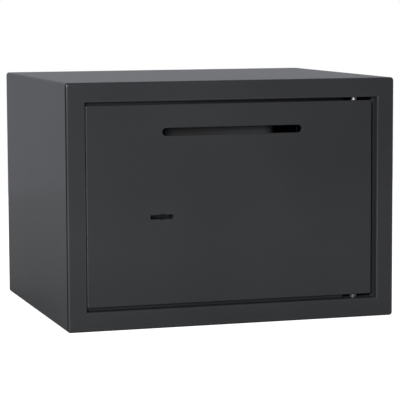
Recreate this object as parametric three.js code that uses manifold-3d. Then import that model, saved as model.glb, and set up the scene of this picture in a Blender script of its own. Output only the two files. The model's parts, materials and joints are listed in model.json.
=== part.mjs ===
// Deposit safe: a folded steel cabinet, a plate door on two hidden pivots with a long
// slot near its top, a baffle behind the slot, and two round bolts that a five-lever
// lock with a double-bit key throws. The door is closed and its bolts are drawn in.
// Sizes are in millimetres. X runs to the right, Y to the back and Z up, and the
// origin lies in the middle of the base.

import * as THREE from 'three';
import { mergeVertices } from 'three/addons/utils/BufferGeometryUtils.js';
import Module from 'manifold-3d';

const wasm = await Module();
wasm.setup();

// Cabinet
const cabinetWidth = 350;
const cabinetDepth = 290;
const cabinetHeight = 250;
const cabinetSheet = 2;
const frontBend = 2.5; // outside radius of the fold round the front
const bendStep = 0.7; // how much rounder the long edges are than the front fold
const frameLeft = 20;
const frameRight = 18.7;
const frameTop = 20;
const frameBottom = 20;
const openingBend = 1.5; // outside radius of the fold at the door opening
const returnDepth = 18; // front face to the rear edge of the fold behind the frame
const anchorHole = 12;
const anchorSpacing = 210;
const floorAnchorBack = 10; // the floor's anchor holes behind the middle
const wallAnchorHeight = 125;
const matThickness = 2;
const matMargin = 1.5;
const matHole = 24;
const matSetback = 4; // return flange to the mat's front edge
const matCorner = 3;

// Door plate
const doorGapLeft = 1.2;
const doorGapRight = 5.2;
const doorGapTop = 3.2;
const doorGapBottom = 4.1;
const doorRecess = 2.5;
const doorThickness = 4;
const doorEdge = 0.5; // rounding of the plate's edges
const doorCorner = 1;

// Deposit slot and the baffle behind it
const slotLength = 149;
const slotHeight = 8;
const slotShift = 1; // door's middle to the slot's, to the right
const slotDrop = 27.8; // door's top edge to the slot's centre line
const baffleSheet = 1.5;
const baffleStandoff = 19.5; // door's back face to the baffle's back face
const baffleRoofClear = 3; // slot's upper edge to the baffle's roof
const baffleHang = 5.8; // slot's lower edge to the tips of the teeth
const baffleOverLeft = 16; // how far the baffle runs past the slot's left end
const baffleShortRight = 27; // how far it stops short of the slot's right end
const toothPitch = 9;
const toothDepth = 4;
const sheetBend = 2.5; // outside radius of folds in thin sheet
const baffleStudInset = 18;
const baffleTopClear = 1.2; // upper stop strip to the baffle's flange

// Stops behind the door's upper and lower edges
const stopThickness = 2;
const stopHeight = 10;
const stopPlay = 1; // door's back face to a stop
const stopEndClear = 13; // hinge axis to the end of a stop
const stopCorner = 1;

// Hinge
const hingeInset = 21.8; // opening's right edge to the hinge axis
const hingeBehind = 4.5; // door's back face to the hinge axis
const pinDiameter = 6;
const pinHeadDiameter = 10;
const pinHeadHeight = 2;
const pinReach = 17; // how far a pin stands in its lug
const lugWidth = 16;
const lugHeight = 20;
const lugWall = 2.5;
const lugSetback = 0.6; // door's edge to the end of a lug
const lugCorner = 4; // rounding behind the pin
const lugFootCorner = 0.4; // rounding at the door
const spacerDiameter = 8.6;
const hingePlateThickness = 3;
const hingePlateLeft = 22;
const hingePlateRight = 19;
const hingePlateCorner = 1.5;

// Bolt work
const boltDiameter = 18;
const boltThrow = 16;
const boltTipInset = 2.8; // door's left edge to the tip of a drawn bolt
const boltCatch = 1; // play between a thrown bolt and the return flange
const boltTipChamfer = 1.5;
const upperBoltDrop = 36.4; // slot's lower edge to the upper bolt
const lowerBoltRise = 43.6; // door's lower edge to the lower bolt
const spigotDiameter = 8;
const boltNutFlats = 13;
const boltNutHeight = 4;
const spigotEnd = 0.6; // spigot past its thin nut
const railInset = 5.8; // door's left edge to the guide rail
const railThickness = 3;
const railFoot = 15;
const barThickness = 5;
const barWidth = 20;
const barOverhang = 11; // bolt axis to the end of the bar
const barPlay = 1.4; // guide rail to the bar with the bolts thrown
const barCorner = 3;
const sinkOverlap = 0.2; // how far the bar's countersink reaches into its screw hole
const tabThickness = 3.4;
const tabHeight = 20;
const tabInset = 1; // bar's rear edge to the tab's rear edge
const tabCorner = 1;
const tabScrewDiameter = 5;
const tabScrewHead = 9;
const tabScrewInset = 0.2; // screw's ends below the faces that they lie in
const screwDriverSlot = 1.4;
const screwSlotDepth = 0.9;

// Cover over the bolt work
const panSheet = 1.2;
const panClear = 2.5; // bolt bar to the cover
const panDepthClear = 5; // bolts to the cover's back wall
const panRise = 13; // slope of the cover's top
const panRightClear = 18; // lock case to the cover's right wall
const panFlange = 12;
const flangeStudHigh = 102; // cover's bottom wall to the upper stud of the right flange
const flangeStudLow = 17;
const flangeStudLeft = 24; // guide rail to the left stud of the bottom flange
const flangeStudSpacing = 70;

// Lock
const caseWall = 2;
const caseGap = 0.6; // ends of the bolts' spigots to the lock case
const caseAbove = 32; // keyhole to the top of the case
const caseBelow = 26;
const caseCorner = 2;
const earWidth = 12;
const earHeight = 13;
const earInset = 14;
const earCorner = 1.5;
const cornerPost = 7.2;
const cornerInset = 5;
const coverScrewDiameter = 3;
const coverScrewHead = 5.6;
const coverScrewHeadHeight = 1.8;
const coverScrewLength = 10;
const lockBoltThickness = 4;
const lockBoltHeight = 30;
const lockBoltCorner = 2;
const lockBoltTail = 12.7; // lock bolt's metal to the right of its window
const stumpWidth = 4;
const stumpHeight = 5;
const stumpCorner = 0.4;
const leverSheet = 1.5;
const leverSpace = 0.4;
const leverWall = 2.2; // metal between the openings of a lever
const leverReach = 39; // lever post to the keyhole
const leverPostDiameter = 6;
const leverEye = 6.5; // radius of a lever round its post
const leverNeck = 11;
const leverDrop = 3; // degrees that a lever falls from the gate
const leverOverlift = 1.5; // degrees that a wrong key can lift it past the gate
const leverEnd = 1.1; // case wall to the ends of the levers
const leverEndCorner = 1.5;
const gateClear = 0.5;
const pocketClear = 0.6;
const pocketCorner = 0.5;
const windowRadius = 13;
const bellyRadii = [9, 10.5, 8.5, 11, 9.5]; // one height of key cut for each lever
const springThickness = 0.6;
const springWidth = 1.2;
const springFoot = 8; // lever post to the spring's foot
const springLength = 36;
const springClear = 1.8; // case wall to the spring's end at the gate
const springBow = 4; // spring's foot to where its bow would peak

// Key drum and keyhole
const keyholeLength = 24.4;
const keyholeHeight = 4.4;
const keyholeCentre = 6.4;
const keyholeCorner = 0.6;
const faceDiscRadius = 14;
const faceDiscThickness = 1.8;
const barrelRadius = 5;
const driveDiscRadius = 12;
const driveDiscThickness = 2;
const drivePinDiameter = 5;
const drivePinSlotCorner = 2;
const journalRadius = 4;

// Fasteners and clearances
const studDiameter = 4;
const nutFlats = 7;
const nutHeight = 3.2;
const nutDome = 2;
const nutCrown = 0.9; // metal over a cap nut's bore
const nutChamfer = 0.8;
const domeRings = [[0.9, 0.3], [0.5, 0.9]]; // shares of a cap nut's radius and of its dome's height
const seatGap = 0.3; // pieces that touch or are welded together
const runClear = 0.3; // round pieces that turn or slide in a hole
const endChamfer = 0.5; // ends of pins, posts and screws
const past = 1; // how far a cutter runs past what it cuts, or a stud into its plate
const overlap = 0.5; // how far the key drum's sections run into each other
const samePlace = 1e-4; // corners closer than this are one

// Sides of a circle, and steps in a quarter of one
const round = 24;
const middleRound = 16;
const smallRound = 12;
const tinyArc = 2;
const smallArc = 3;
const middleArc = 4;
const lugArc = 5;
const journalArc = 6;
const windowArc = 7;
const largeArc = 8;

// Faces of the cabinet and its opening
const left = -cabinetWidth / 2;
const right = cabinetWidth / 2;
const front = -cabinetDepth / 2;
const back = cabinetDepth / 2;
const openingLeft = left + frameLeft;
const openingRight = right - frameRight;
const openingBottom = frameBottom;
const openingTop = cabinetHeight - frameTop;
const returnRear = front + returnDepth;
const cornerBend = frontBend + bendStep;

// Faces of the door
const doorLeft = openingLeft + doorGapLeft;
const doorRight = openingRight - doorGapRight;
const doorBottom = openingBottom + doorGapBottom;
const doorTop = openingTop - doorGapTop;
const doorFront = front + doorRecess;
const doorBack = doorFront + doorThickness;
const doorSeat = doorBack + seatGap; // where what is welded or screwed to the door starts
const doorMiddle = (doorLeft + doorRight) / 2;
const slotZ = doorTop - slotDrop;

// Hinge axis
const hingeX = openingRight - hingeInset;
const hingeY = doorBack + hingeBehind;
const pinBore = pinDiameter / 2 + runClear;

// Bolt work, from the door's left edge inwards
const boltY = returnRear + boltDiameter / 2 + boltCatch;
const upperBoltZ = slotZ - slotHeight / 2 - upperBoltDrop;
const lowerBoltZ = doorBottom + lowerBoltRise;
const boltTip = doorLeft + boltTipInset;
const railLeft = doorLeft + railInset;
const railRight = railLeft + railThickness;
const barLeft = railRight + boltThrow + barPlay;
const barRight = barLeft + barThickness;
const tabLeft = barRight + seatGap;
const tabRight = tabLeft + tabThickness;

// Lock, from the bolt bar to the right
const caseLeft = barRight + seatGap + boltNutHeight + spigotEnd + caseGap;
const leverTip = caseLeft + caseWall + leverEnd;
const stumpThrownX = leverTip + leverWall + pocketClear + stumpWidth / 2;
const stumpX = stumpThrownX + boltThrow;
const windowLeft = stumpX + stumpWidth / 2 + pocketClear + leverWall;
const keyX = windowLeft + windowRadius;
const keyZ = (upperBoltZ + lowerBoltZ) / 2;
const postX = keyX + leverReach;
const caseRight = postX + leverEye + leverEnd + caseWall;
const caseTop = keyZ + caseAbove;
const caseBottom = keyZ - caseBelow;

// Lock, from the door plate backwards
const caseInner = doorSeat + caseWall;
const leverStep = leverSheet + leverSpace;
const leverPackBack = caseInner + bellyRadii.length * leverStep;
const driveDiscFront = leverPackBack + seatGap;
const driveDiscBack = driveDiscFront + driveDiscThickness;
const lockBoltFront = driveDiscBack + seatGap;
const lockBoltBack = lockBoltFront + lockBoltThickness;
const caseRim = lockBoltBack + seatGap;
const coverFront = caseRim + seatGap;
const coverBack = coverFront + caseWall;
const drivePinX = boltThrow / 2; // the drive pin's circle gives the throw in half a turn

// Cover over the bolt work
const panLeft = railLeft;
const panRight = caseRight + panRightClear;
const panBack = boltY + boltDiameter / 2 + panDepthClear + panSheet;
const panBottom = lowerBoltZ - barOverhang - panClear - panSheet;
const panTop = upperBoltZ + barOverhang + panClear + panSheet;

const graphite = { color: 0x36383a, roughness: 0.5, metalness: 0.0 };
const zinc = { color: 0xb4b7b8, roughness: 0.32, metalness: 1.0 };
const steel = { color: 0x8f9294, roughness: 0.38, metalness: 1.0 };
const darkSteel = { color: 0x3c3c3d, roughness: 0.45, metalness: 1.0 };
const brass = { color: 0xb08d4c, roughness: 0.35, metalness: 1.0 };
const felt = { color: 0x26282a, roughness: 1.0, metalness: 0.0 };

// A closed solid from a three.js geometry. Triangles that shrink to a line are left out.
function solid(geometry) {
  const bare = geometry.clone();
  bare.deleteAttribute('normal');
  bare.deleteAttribute('uv');
  const merged = mergeVertices(bare, samePlace);
  const corners = merged.index.array;
  const triangles = [];
  for (let i = 0; i < corners.length; i += 3) {
    const [a, b, c] = corners.slice(i, i + 3);
    if (a !== b && b !== c && c !== a) triangles.push(a, b, c);
  }
  const mesh = new wasm.Mesh({
    numProp: 3,
    vertProperties: new Float32Array(merged.attributes.position.array),
    triVerts: new Uint32Array(triangles),
  });
  return new wasm.Manifold(mesh);
}

function geometryOf(body) {
  const mesh = body.getMesh();
  const geometry = new THREE.BufferGeometry();
  geometry.setAttribute('position', new THREE.BufferAttribute(new Float32Array(mesh.vertProperties), 3));
  geometry.setIndex(new THREE.BufferAttribute(new Uint32Array(mesh.triVerts), 1));
  const faceted = geometry.toNonIndexed();
  faceted.computeVertexNormals();
  return faceted;
}

function cut(body, ...cutters) {
  return cutters.reduce((rest, cutter) => rest.subtract(cutter), body);
}

function join(...bodies) {
  return bodies.reduce((whole, body) => whole.add(body));
}

// Extrusions of a drawn outline: along X from (y, z), along Y from (x, z), along Z from (x, y)
function alongX(shape, x0, x1, curveSegments = largeArc) {
  const geometry = new THREE.ExtrudeGeometry(shape, { depth: x1 - x0, bevelEnabled: false, curveSegments });
  return solid(geometry.rotateY(Math.PI / 2).rotateX(Math.PI / 2).translate(x0, 0, 0));
}

function alongY(shape, y0, y1, curveSegments = largeArc) {
  const geometry = new THREE.ExtrudeGeometry(shape, { depth: y1 - y0, bevelEnabled: false, curveSegments });
  return solid(geometry.rotateX(Math.PI / 2).translate(0, y1, 0));
}

function alongZ(shape, z0, z1, curveSegments = largeArc) {
  const geometry = new THREE.ExtrudeGeometry(shape, { depth: z1 - z0, bevelEnabled: false, curveSegments });
  return solid(geometry.translate(0, 0, z0));
}

function block(x0, x1, y0, y1, z0, z1) {
  const geometry = new THREE.BoxGeometry(x1 - x0, y1 - y0, z1 - z0);
  return solid(geometry.translate((x0 + x1) / 2, (y0 + y1) / 2, (z0 + z1) / 2));
}

function rodX(radius, x0, x1, y, z, sides = smallRound) {
  const geometry = new THREE.CylinderGeometry(radius, radius, x1 - x0, sides);
  return solid(geometry.rotateZ(-Math.PI / 2).translate((x0 + x1) / 2, y, z));
}

function rodY(radius, y0, y1, x, z, sides = smallRound) {
  const geometry = new THREE.CylinderGeometry(radius, radius, y1 - y0, sides);
  return solid(geometry.translate(x, (y0 + y1) / 2, z));
}

function rodZ(radius, z0, z1, x, y, sides = smallRound) {
  const geometry = new THREE.CylinderGeometry(radius, radius, z1 - z0, sides);
  return solid(geometry.rotateX(Math.PI / 2).translate(x, y, (z0 + z1) / 2));
}

// A body turned about its own axis from a profile of [radius, height] points
function turned(profile, sides = round) {
  return solid(new THREE.LatheGeometry(profile.map(([r, h]) => new THREE.Vector2(r, h)), sides));
}

function rectangle(x0, x1, y0, y1, r = 0) {
  return filleted([[x0, y0, r], [x1, y0, r], [x1, y1, r], [x0, y1, r]]);
}

// A closed outline of [x, y, radius] corners, each rounded by its radius
function filleted(corners) {
  const shape = new THREE.Shape();
  const towards = ([x, y], corner) => new THREE.Vector2(x, y).sub(corner).normalize();
  corners.forEach(([x, y, r = 0], i) => {
    const corner = new THREE.Vector2(x, y);
    const before = towards(corners.at(i - 1), corner);
    const after = towards(corners[(i + 1) % corners.length], corner);
    const half = before.angleTo(after) / 2;
    const run = r / Math.tan(half);
    const start = corner.clone().addScaledVector(before, run);
    const end = corner.clone().addScaledVector(after, run);
    if (i === 0) shape.moveTo(start.x, start.y);
    else shape.lineTo(start.x, start.y);
    if (r > 0) {
      const inward = before.clone().add(after).normalize();
      const centre = corner.clone().addScaledVector(inward, r / Math.sin(half));
      const turnsLeft = after.cross(before) > 0;
      const from = start.clone().sub(centre).angle();
      const to = end.clone().sub(centre).angle();
      shape.absarc(centre.x, centre.y, r, from, to, !turnsLeft);
    }
  });
  shape.closePath();
  return shape;
}

// A slot outline with round ends
function stadium(x0, x1, y, height) {
  const r = height / 2;
  const shape = new THREE.Shape();
  shape.moveTo(x0 + r, y - r);
  shape.lineTo(x1 - r, y - r);
  shape.absarc(x1 - r, y, r, -Math.PI / 2, Math.PI / 2, false);
  shape.lineTo(x0 + r, y + r);
  shape.absarc(x0 + r, y, r, Math.PI / 2, Math.PI * 1.5, false);
  shape.closePath();
  return shape;
}

// The double-bit keyhole, cut from y0 to y1 about the lock's axis
function keyway(y0, y1) {
  const wings = rectangle(
    keyX - keyholeLength / 2, keyX + keyholeLength / 2,
    keyZ - keyholeHeight / 2, keyZ + keyholeHeight / 2, keyholeCorner,
  );
  return join(alongY(wings, y0, y1, smallArc), rodY(keyholeCentre / 2, y0, y1, keyX, keyZ));
}

const safe = new THREE.Group();
const cabinet = new THREE.Group();
const door = new THREE.Group();
const boltWork = new THREE.Group();
const lock = new THREE.Group();
safe.add(cabinet, door);
door.add(boltWork, lock);

function place(group, name, body, look, x = 0, y = 0, z = 0) {
  const geometry = body.isBufferGeometry ? body : geometryOf(body);
  const mesh = new THREE.Mesh(geometry, new THREE.MeshStandardMaterial(look));
  mesh.name = name;
  mesh.position.set(x, y, z);
  group.add(mesh);
  return mesh;
}

// Cabinet: a wrapper folded round the front into a frame, and back into a return flange
function cabinetOutside() {
  const outline = rectangle(left, right, 0, cabinetHeight, cornerBend);
  const geometry = new THREE.ExtrudeGeometry(outline, {
    depth: cabinetDepth - frontBend,
    curveSegments: middleArc,
    bevelEnabled: true,
    bevelThickness: frontBend,
    bevelSize: frontBend,
    bevelOffset: -frontBend,
    bevelSegments: middleArc,
  });
  const rounded = solid(geometry.rotateX(Math.PI / 2).translate(0, back, 0));
  const beyond = block(left - past, right + past, back, back + 2 * frontBend, -past, cabinetHeight + past);
  return cut(rounded, beyond);
}

// The opening flares to the front face by the radius of the fold round it
function openingCutter() {
  const r = openingBend;
  const outline = rectangle(openingLeft - r, openingRight + r, openingBottom - r, openingTop + r);
  const geometry = new THREE.ExtrudeGeometry(outline, {
    depth: returnDepth,
    bevelEnabled: true,
    bevelThickness: r,
    bevelSize: -r,
    bevelSegments: smallArc,
  });
  return solid(geometry.rotateX(Math.PI / 2).translate(0, front + r + returnDepth, 0));
}

function anchorCutters(radius) {
  const matTop = cabinetSheet + seatGap + matThickness;
  return [-anchorSpacing / 2, anchorSpacing / 2].map((x) => ({
    floor: rodZ(radius, -past, matTop + past, x, floorAnchorBack, middleRound),
    wall: rodY(radius, back - cabinetSheet - past, back + past, x, wallAnchorHeight, middleRound),
  }));
}

function cabinetShell() {
  const t = cabinetSheet;
  const inside = rectangle(left + t, right - t, t, cabinetHeight - t, cornerBend - t);
  const cavity = alongY(inside, front + t, back + past, middleArc);
  const returnFlange = block(
    openingLeft - t, openingRight + t, front + t / 2, returnRear, openingBottom - t, openingTop + t,
  );
  const pinHole = rodZ(pinBore, 0, cabinetHeight, hingeX, hingeY, middleRound);
  const shell = join(cut(cabinetOutside(), cavity), returnFlange);
  const pinSpan = block(hingeX - lugWidth, hingeX + lugWidth, front + t, returnRear, t, cabinetHeight - t);
  const floorHoles = anchorCutters(anchorHole / 2).map(({ floor }) => floor);
  return cut(shell, openingCutter(), pinHole.intersect(pinSpan), ...floorHoles);
}

function backPanel() {
  const edge = cabinetSheet + seatGap;
  const corner = cornerBend - cabinetSheet;
  const outline = rectangle(left + edge, right - edge, edge, cabinetHeight - edge, corner);
  const panel = alongY(outline, back - cabinetSheet, back, middleArc);
  return cut(panel, ...anchorCutters(anchorHole / 2).map(({ wall }) => wall));
}

function stopStrip(z0) {
  const y0 = doorBack + stopPlay;
  const outline = rectangle(openingLeft + seatGap, hingeX - stopEndClear, z0, z0 + stopHeight, stopCorner);
  return alongY(outline, y0, y0 + stopThickness, tinyArc);
}

const lowerPlateTop = openingBottom - cabinetSheet - seatGap;
const upperPlateBottom = openingTop + cabinetSheet + seatGap;

function hingePlate(z0) {
  const outline = rectangle(
    hingeX - hingePlateLeft, hingeX + hingePlateRight,
    front + cabinetSheet + seatGap, returnRear, hingePlateCorner,
  );
  return cut(
    alongZ(outline, z0, z0 + hingePlateThickness, smallArc),
    rodZ(pinBore, z0 - past, z0 + hingePlateThickness + past, hingeX, hingeY, middleRound),
  );
}

// A headed pivot pin that stands on its head
function hingePin(length) {
  const r = pinDiameter / 2;
  const head = pinHeadDiameter / 2;
  const c = endChamfer;
  const profile = [
    [0, 0], [head - c, 0], [head, c], [head, pinHeadHeight], [r, pinHeadHeight],
    [r, length - c], [r - c, length], [0, length],
  ];
  return geometryOf(turned(profile, middleRound)).rotateX(Math.PI / 2);
}

function hingeSpacer(height) {
  const outer = spacerDiameter / 2;
  const profile = [[pinBore, 0], [outer, 0], [outer, height], [pinBore, height], [pinBore, 0]];
  return geometryOf(turned(profile)).rotateX(Math.PI / 2);
}

function floorMat() {
  const edge = cabinetSheet + matMargin;
  const outline = rectangle(left + edge, right - edge, returnRear + matSetback, back - edge, matCorner);
  const z0 = cabinetSheet + seatGap;
  const mat = alongZ(outline, z0, z0 + matThickness, smallArc);
  return cut(mat, ...anchorCutters(matHole / 2).map(({ floor }) => floor));
}

const lugBottom = doorBottom + lugSetback;
const lugTop = doorTop - lugSetback;
const lowerPinFoot = lowerPlateTop - hingePlateThickness - seatGap - pinHeadHeight;
const upperPinFoot = upperPlateBottom + hingePlateThickness + seatGap + pinHeadHeight;
const spacerFoot = openingBottom + seatGap;

place(cabinet, 'cabinet_shell', cabinetShell(), graphite);
place(cabinet, 'back_panel', backPanel(), graphite);
place(cabinet, 'stop_strip_top', stopStrip(openingTop - seatGap - stopHeight), graphite);
place(cabinet, 'stop_strip_bottom', stopStrip(openingBottom + seatGap), graphite);
place(cabinet, 'hinge_plate_top', hingePlate(upperPlateBottom), zinc);
place(cabinet, 'hinge_plate_bottom', hingePlate(lowerPlateTop - hingePlateThickness), zinc);
const lowerPin = hingePin(lugBottom + pinReach - lowerPinFoot);
place(cabinet, 'hinge_pin_bottom', lowerPin, steel, hingeX, hingeY, lowerPinFoot);
const upperPin = hingePin(upperPinFoot - lugTop + pinReach);
place(cabinet, 'hinge_pin_top', upperPin, steel, hingeX, hingeY, upperPinFoot).rotation.x = Math.PI;
const spacer = hingeSpacer(lugBottom - seatGap - spacerFoot);
place(cabinet, 'hinge_spacer', spacer, darkSteel, hingeX, hingeY, spacerFoot);
place(cabinet, 'floor_mat', floorMat(), felt);

// Studs welded to the back of the door, as [x, z, thickness of the sheet that each holds]
const rightStudX = panRight + panFlange / 2;
const bottomStudZ = panBottom - panFlange / 2;
const panStuds = [
  [rightStudX, panBottom + flangeStudHigh, panSheet],
  [rightStudX, panBottom + flangeStudLow, panSheet],
  [railRight + flangeStudLeft, bottomStudZ, panSheet],
  [railRight + flangeStudLeft + flangeStudSpacing, bottomStudZ, panSheet],
];
const earStuds = [caseLeft + earInset, caseRight - earInset].flatMap((x) => [
  [x, caseTop + earHeight / 2, caseWall],
  [x, caseBottom - earHeight / 2, caseWall],
]);
const slotLeft = doorMiddle + slotShift - slotLength / 2;
const slotRight = doorMiddle + slotShift + slotLength / 2;
const baffleLeft = slotLeft - baffleOverLeft;
const baffleRight = slotRight - baffleShortRight;
const baffleRoof = slotZ + slotHeight / 2 + baffleRoofClear;
const baffleTop = openingTop - stopHeight - seatGap - baffleTopClear;
const baffleStudZ = (baffleRoof + baffleSheet + baffleTop) / 2;
const baffleStuds = [
  [baffleLeft + baffleStudInset, baffleStudZ, baffleSheet],
  [baffleRight - baffleStudInset, baffleStudZ, baffleSheet],
];

// Door plate with its slot, keyhole and studs
function doorPlate() {
  const e = doorEdge;
  const outline = rectangle(doorLeft, doorRight, doorBottom, doorTop, doorCorner);
  const geometry = new THREE.ExtrudeGeometry(outline, {
    depth: doorThickness - 2 * e,
    curveSegments: smallArc,
    bevelEnabled: true,
    bevelThickness: e,
    bevelSize: e,
    bevelOffset: -e,
    bevelSegments: tinyArc,
  });
  const plate = solid(geometry.rotateX(Math.PI / 2).translate(0, doorBack - e, 0));
  const slot = alongY(stadium(slotLeft, slotRight, slotZ, slotHeight), doorFront - past, doorBack + past);
  const pierced = cut(plate, slot, keyway(doorFront - past, doorBack + past));
  const studs = [...panStuds, ...earStuds, ...baffleStuds].map(([x, z, sheet]) => (
    rodY(studDiameter / 2, doorBack - past, doorSeat + sheet + seatGap + nutHeight, x, z)
  ));
  return join(pierced, ...studs);
}

function hingeLug(z0) {
  const half = lugWidth / 2;
  const rear = hingeY + pinBore + lugWall;
  const outline = filleted([
    [hingeX - half, doorSeat, lugFootCorner], [hingeX + half, doorSeat, lugFootCorner],
    [hingeX + half, rear, lugCorner], [hingeX - half, rear, lugCorner],
  ]);
  return cut(
    alongZ(outline, z0, z0 + lugHeight, lugArc),
    rodZ(pinBore, z0 - past, z0 + lugHeight + past, hingeX, hingeY, middleRound),
  );
}

// Baffle: a flange on the door, a roof over the slot and a toothed plate that hangs behind it
function bafflePlate() {
  const t = baffleSheet;
  const bend = sheetBend;
  const hangBack = doorBack + baffleStandoff;
  const tips = slotZ - slotHeight / 2 - baffleHang;
  const section = filleted([
    [doorSeat, baffleTop], [doorSeat, baffleRoof, bend],
    [hangBack - t, baffleRoof, bend - t], [hangBack - t, tips],
    [hangBack, tips], [hangBack, baffleRoof + t, bend],
    [doorSeat + t, baffleRoof + t, bend - t], [doorSeat + t, baffleTop],
  ]);
  const sheet = alongX(section, baffleLeft, baffleRight, middleArc);
  const count = Math.floor((baffleRight - baffleLeft) / toothPitch);
  const pitch = (baffleRight - baffleLeft) / count;
  const notches = Array.from({ length: count }, (_, i) => {
    const x = baffleLeft + pitch * i;
    const notch = filleted([
      [x, tips - past], [x + pitch, tips - past], [x + pitch / 2, tips + toothDepth],
    ]);
    return alongY(notch, hangBack - 2 * t, hangBack + t);
  });
  const holes = baffleStuds.map(([x, z]) => (
    rodY(studDiameter / 2 + runClear, doorBack, doorSeat + t + past, x, z)
  ));
  return cut(sheet, ...notches, ...holes);
}

// Side view of the cover, or of the space inside it
function panProfile(inset) {
  return filleted([
    [doorSeat, panBottom + inset], [panBack - inset, panBottom + inset, sheetBend - inset],
    [panBack - inset, panTop - inset, sheetBend - inset], [doorSeat, panTop + panRise - inset],
  ]);
}

function boltGuideRail() {
  const inset = panSheet + seatGap;
  const web = alongX(panProfile(inset), railLeft, railRight, smallArc);
  const footPlate = block(
    railLeft, railRight + railFoot, doorSeat, doorSeat + railThickness, panBottom + inset, panTop - inset,
  );
  const holes = [upperBoltZ, lowerBoltZ].map((z) => (
    rodX(boltDiameter / 2 + runClear, railLeft - past, railRight + past, boltY, z, round)
  ));
  return cut(join(web, footPlate), ...holes);
}

function boltworkCover() {
  const t = panSheet;
  const outside = alongX(panProfile(0), panLeft, panRight, middleArc);
  const inside = alongX(panProfile(t), panLeft - past, panRight - t, middleArc);
  const opened = block(
    panLeft - past, panRight - t, doorBack, doorSeat + t / 2, panBottom + t, panTop + panRise - t,
  );
  const bottomFlange = block(
    railRight, panRight + panFlange, doorSeat, doorSeat + t, panBottom - panFlange, panBottom + t / 2,
  );
  const rightFlange = block(
    panRight - t / 2, panRight + panFlange, doorSeat, doorSeat + t, panBottom - panFlange, panTop,
  );
  const holes = panStuds.map(([x, z]) => (
    rodY(studDiameter / 2 + runClear, doorBack, doorSeat + t + past, x, z)
  ));
  return cut(join(cut(outside, inside, opened), bottomFlange, rightFlange), ...holes);
}

// A cap nut on the Y axis: its seat is at 0, and its blind bore takes a stud
function capNut() {
  const r = nutFlats / Math.sqrt(3);
  const top = nutHeight + nutDome;
  const hex = solid(new THREE.CylinderGeometry(r, r, nutHeight, 6).translate(0, nutHeight / 2, 0));
  const dome = domeRings.map(([wide, high]) => [wide * nutFlats / 2, nutHeight + nutDome * high]);
  const cap = turned([[0, nutHeight / 2], [nutFlats / 2, nutHeight / 2], ...dome, [0, top]], smallRound);
  const bore = rodY(studDiameter / 2 + runClear, -past, top - nutCrown, 0, 0);
  return geometryOf(cut(join(hex, cap), bore));
}

place(door, 'door_plate', doorPlate(), graphite);
place(door, 'hinge_lug_bottom', hingeLug(lugBottom), graphite);
place(door, 'hinge_lug_top', hingeLug(lugTop - lugHeight), graphite);
place(door, 'baffle_plate', bafflePlate(), graphite);
place(door, 'bolt_guide_rail', boltGuideRail(), graphite);
place(door, 'boltwork_cover', boltworkCover(), graphite);
const nut = capNut();
baffleStuds.forEach(([x, z], i) => {
  place(door, `baffle_nut_${i + 1}`, nut, zinc, x, doorSeat + baffleSheet + seatGap, z);
});
panStuds.forEach(([x, z], i) => {
  place(door, `cover_nut_${i + 1}`, nut, zinc, x, doorSeat + panSheet + seatGap, z);
});

// Bolt work: two bolts screwed to one bar, which the lock's bolt pushes
function boltBar() {
  const y0 = boltY - barWidth / 2;
  const z0 = lowerBoltZ - barOverhang;
  const z1 = upperBoltZ + barOverhang;
  const outline = rectangle(y0, y0 + barWidth, z0, z1, barCorner);
  const bar = alongX(outline, barLeft, barRight, middleArc);
  const spigots = [upperBoltZ, lowerBoltZ].map((z) => (
    rodX(spigotDiameter / 2 + runClear, barLeft - past, barRight + past, boltY, z, middleRound)
  ));
  const r = tabScrewDiameter / 2 + runClear;
  const head = tabScrewHead / 2 + runClear;
  const sinkDepth = head - r + sinkOverlap;
  const sink = turned([
    [0, -past], [head + past, -past], [r - sinkOverlap, sinkDepth], [0, sinkDepth],
  ], middleRound);
  const countersink = solid(geometryOf(sink).rotateZ(-Math.PI / 2).translate(barLeft, boltY, keyZ));
  const screwHole = rodX(r, barLeft - past, barRight + past, boltY, keyZ, middleRound);
  return cut(bar, ...spigots, screwHole, countersink);
}

function roundBolt() {
  const r = boltDiameter / 2;
  const body = barLeft - boltTip - seatGap;
  const spigot = body + seatGap + barThickness + seatGap + boltNutHeight + spigotEnd;
  const profile = [
    [0, 0], [r - boltTipChamfer, 0], [r, boltTipChamfer], [r, body], [spigotDiameter / 2, body],
    [spigotDiameter / 2, spigot - endChamfer], [spigotDiameter / 2 - endChamfer, spigot], [0, spigot],
  ];
  return geometryOf(turned(profile, round)).rotateZ(-Math.PI / 2);
}

function boltNut() {
  const r = boltNutFlats / Math.sqrt(3);
  const hex = solid(new THREE.CylinderGeometry(r, r, boltNutHeight, 6).translate(0, boltNutHeight / 2, 0));
  const chamfered = hex.intersect(turned([
    [0, 0], [boltNutFlats / 2, 0], [r, nutChamfer], [r, boltNutHeight - nutChamfer],
    [boltNutFlats / 2, boltNutHeight], [0, boltNutHeight],
  ], middleRound));
  const bore = rodY(spigotDiameter / 2 + runClear, -past, boltNutHeight + past, 0, 0, middleRound);
  return geometryOf(cut(chamfered, bore)).rotateZ(-Math.PI / 2);
}

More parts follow.
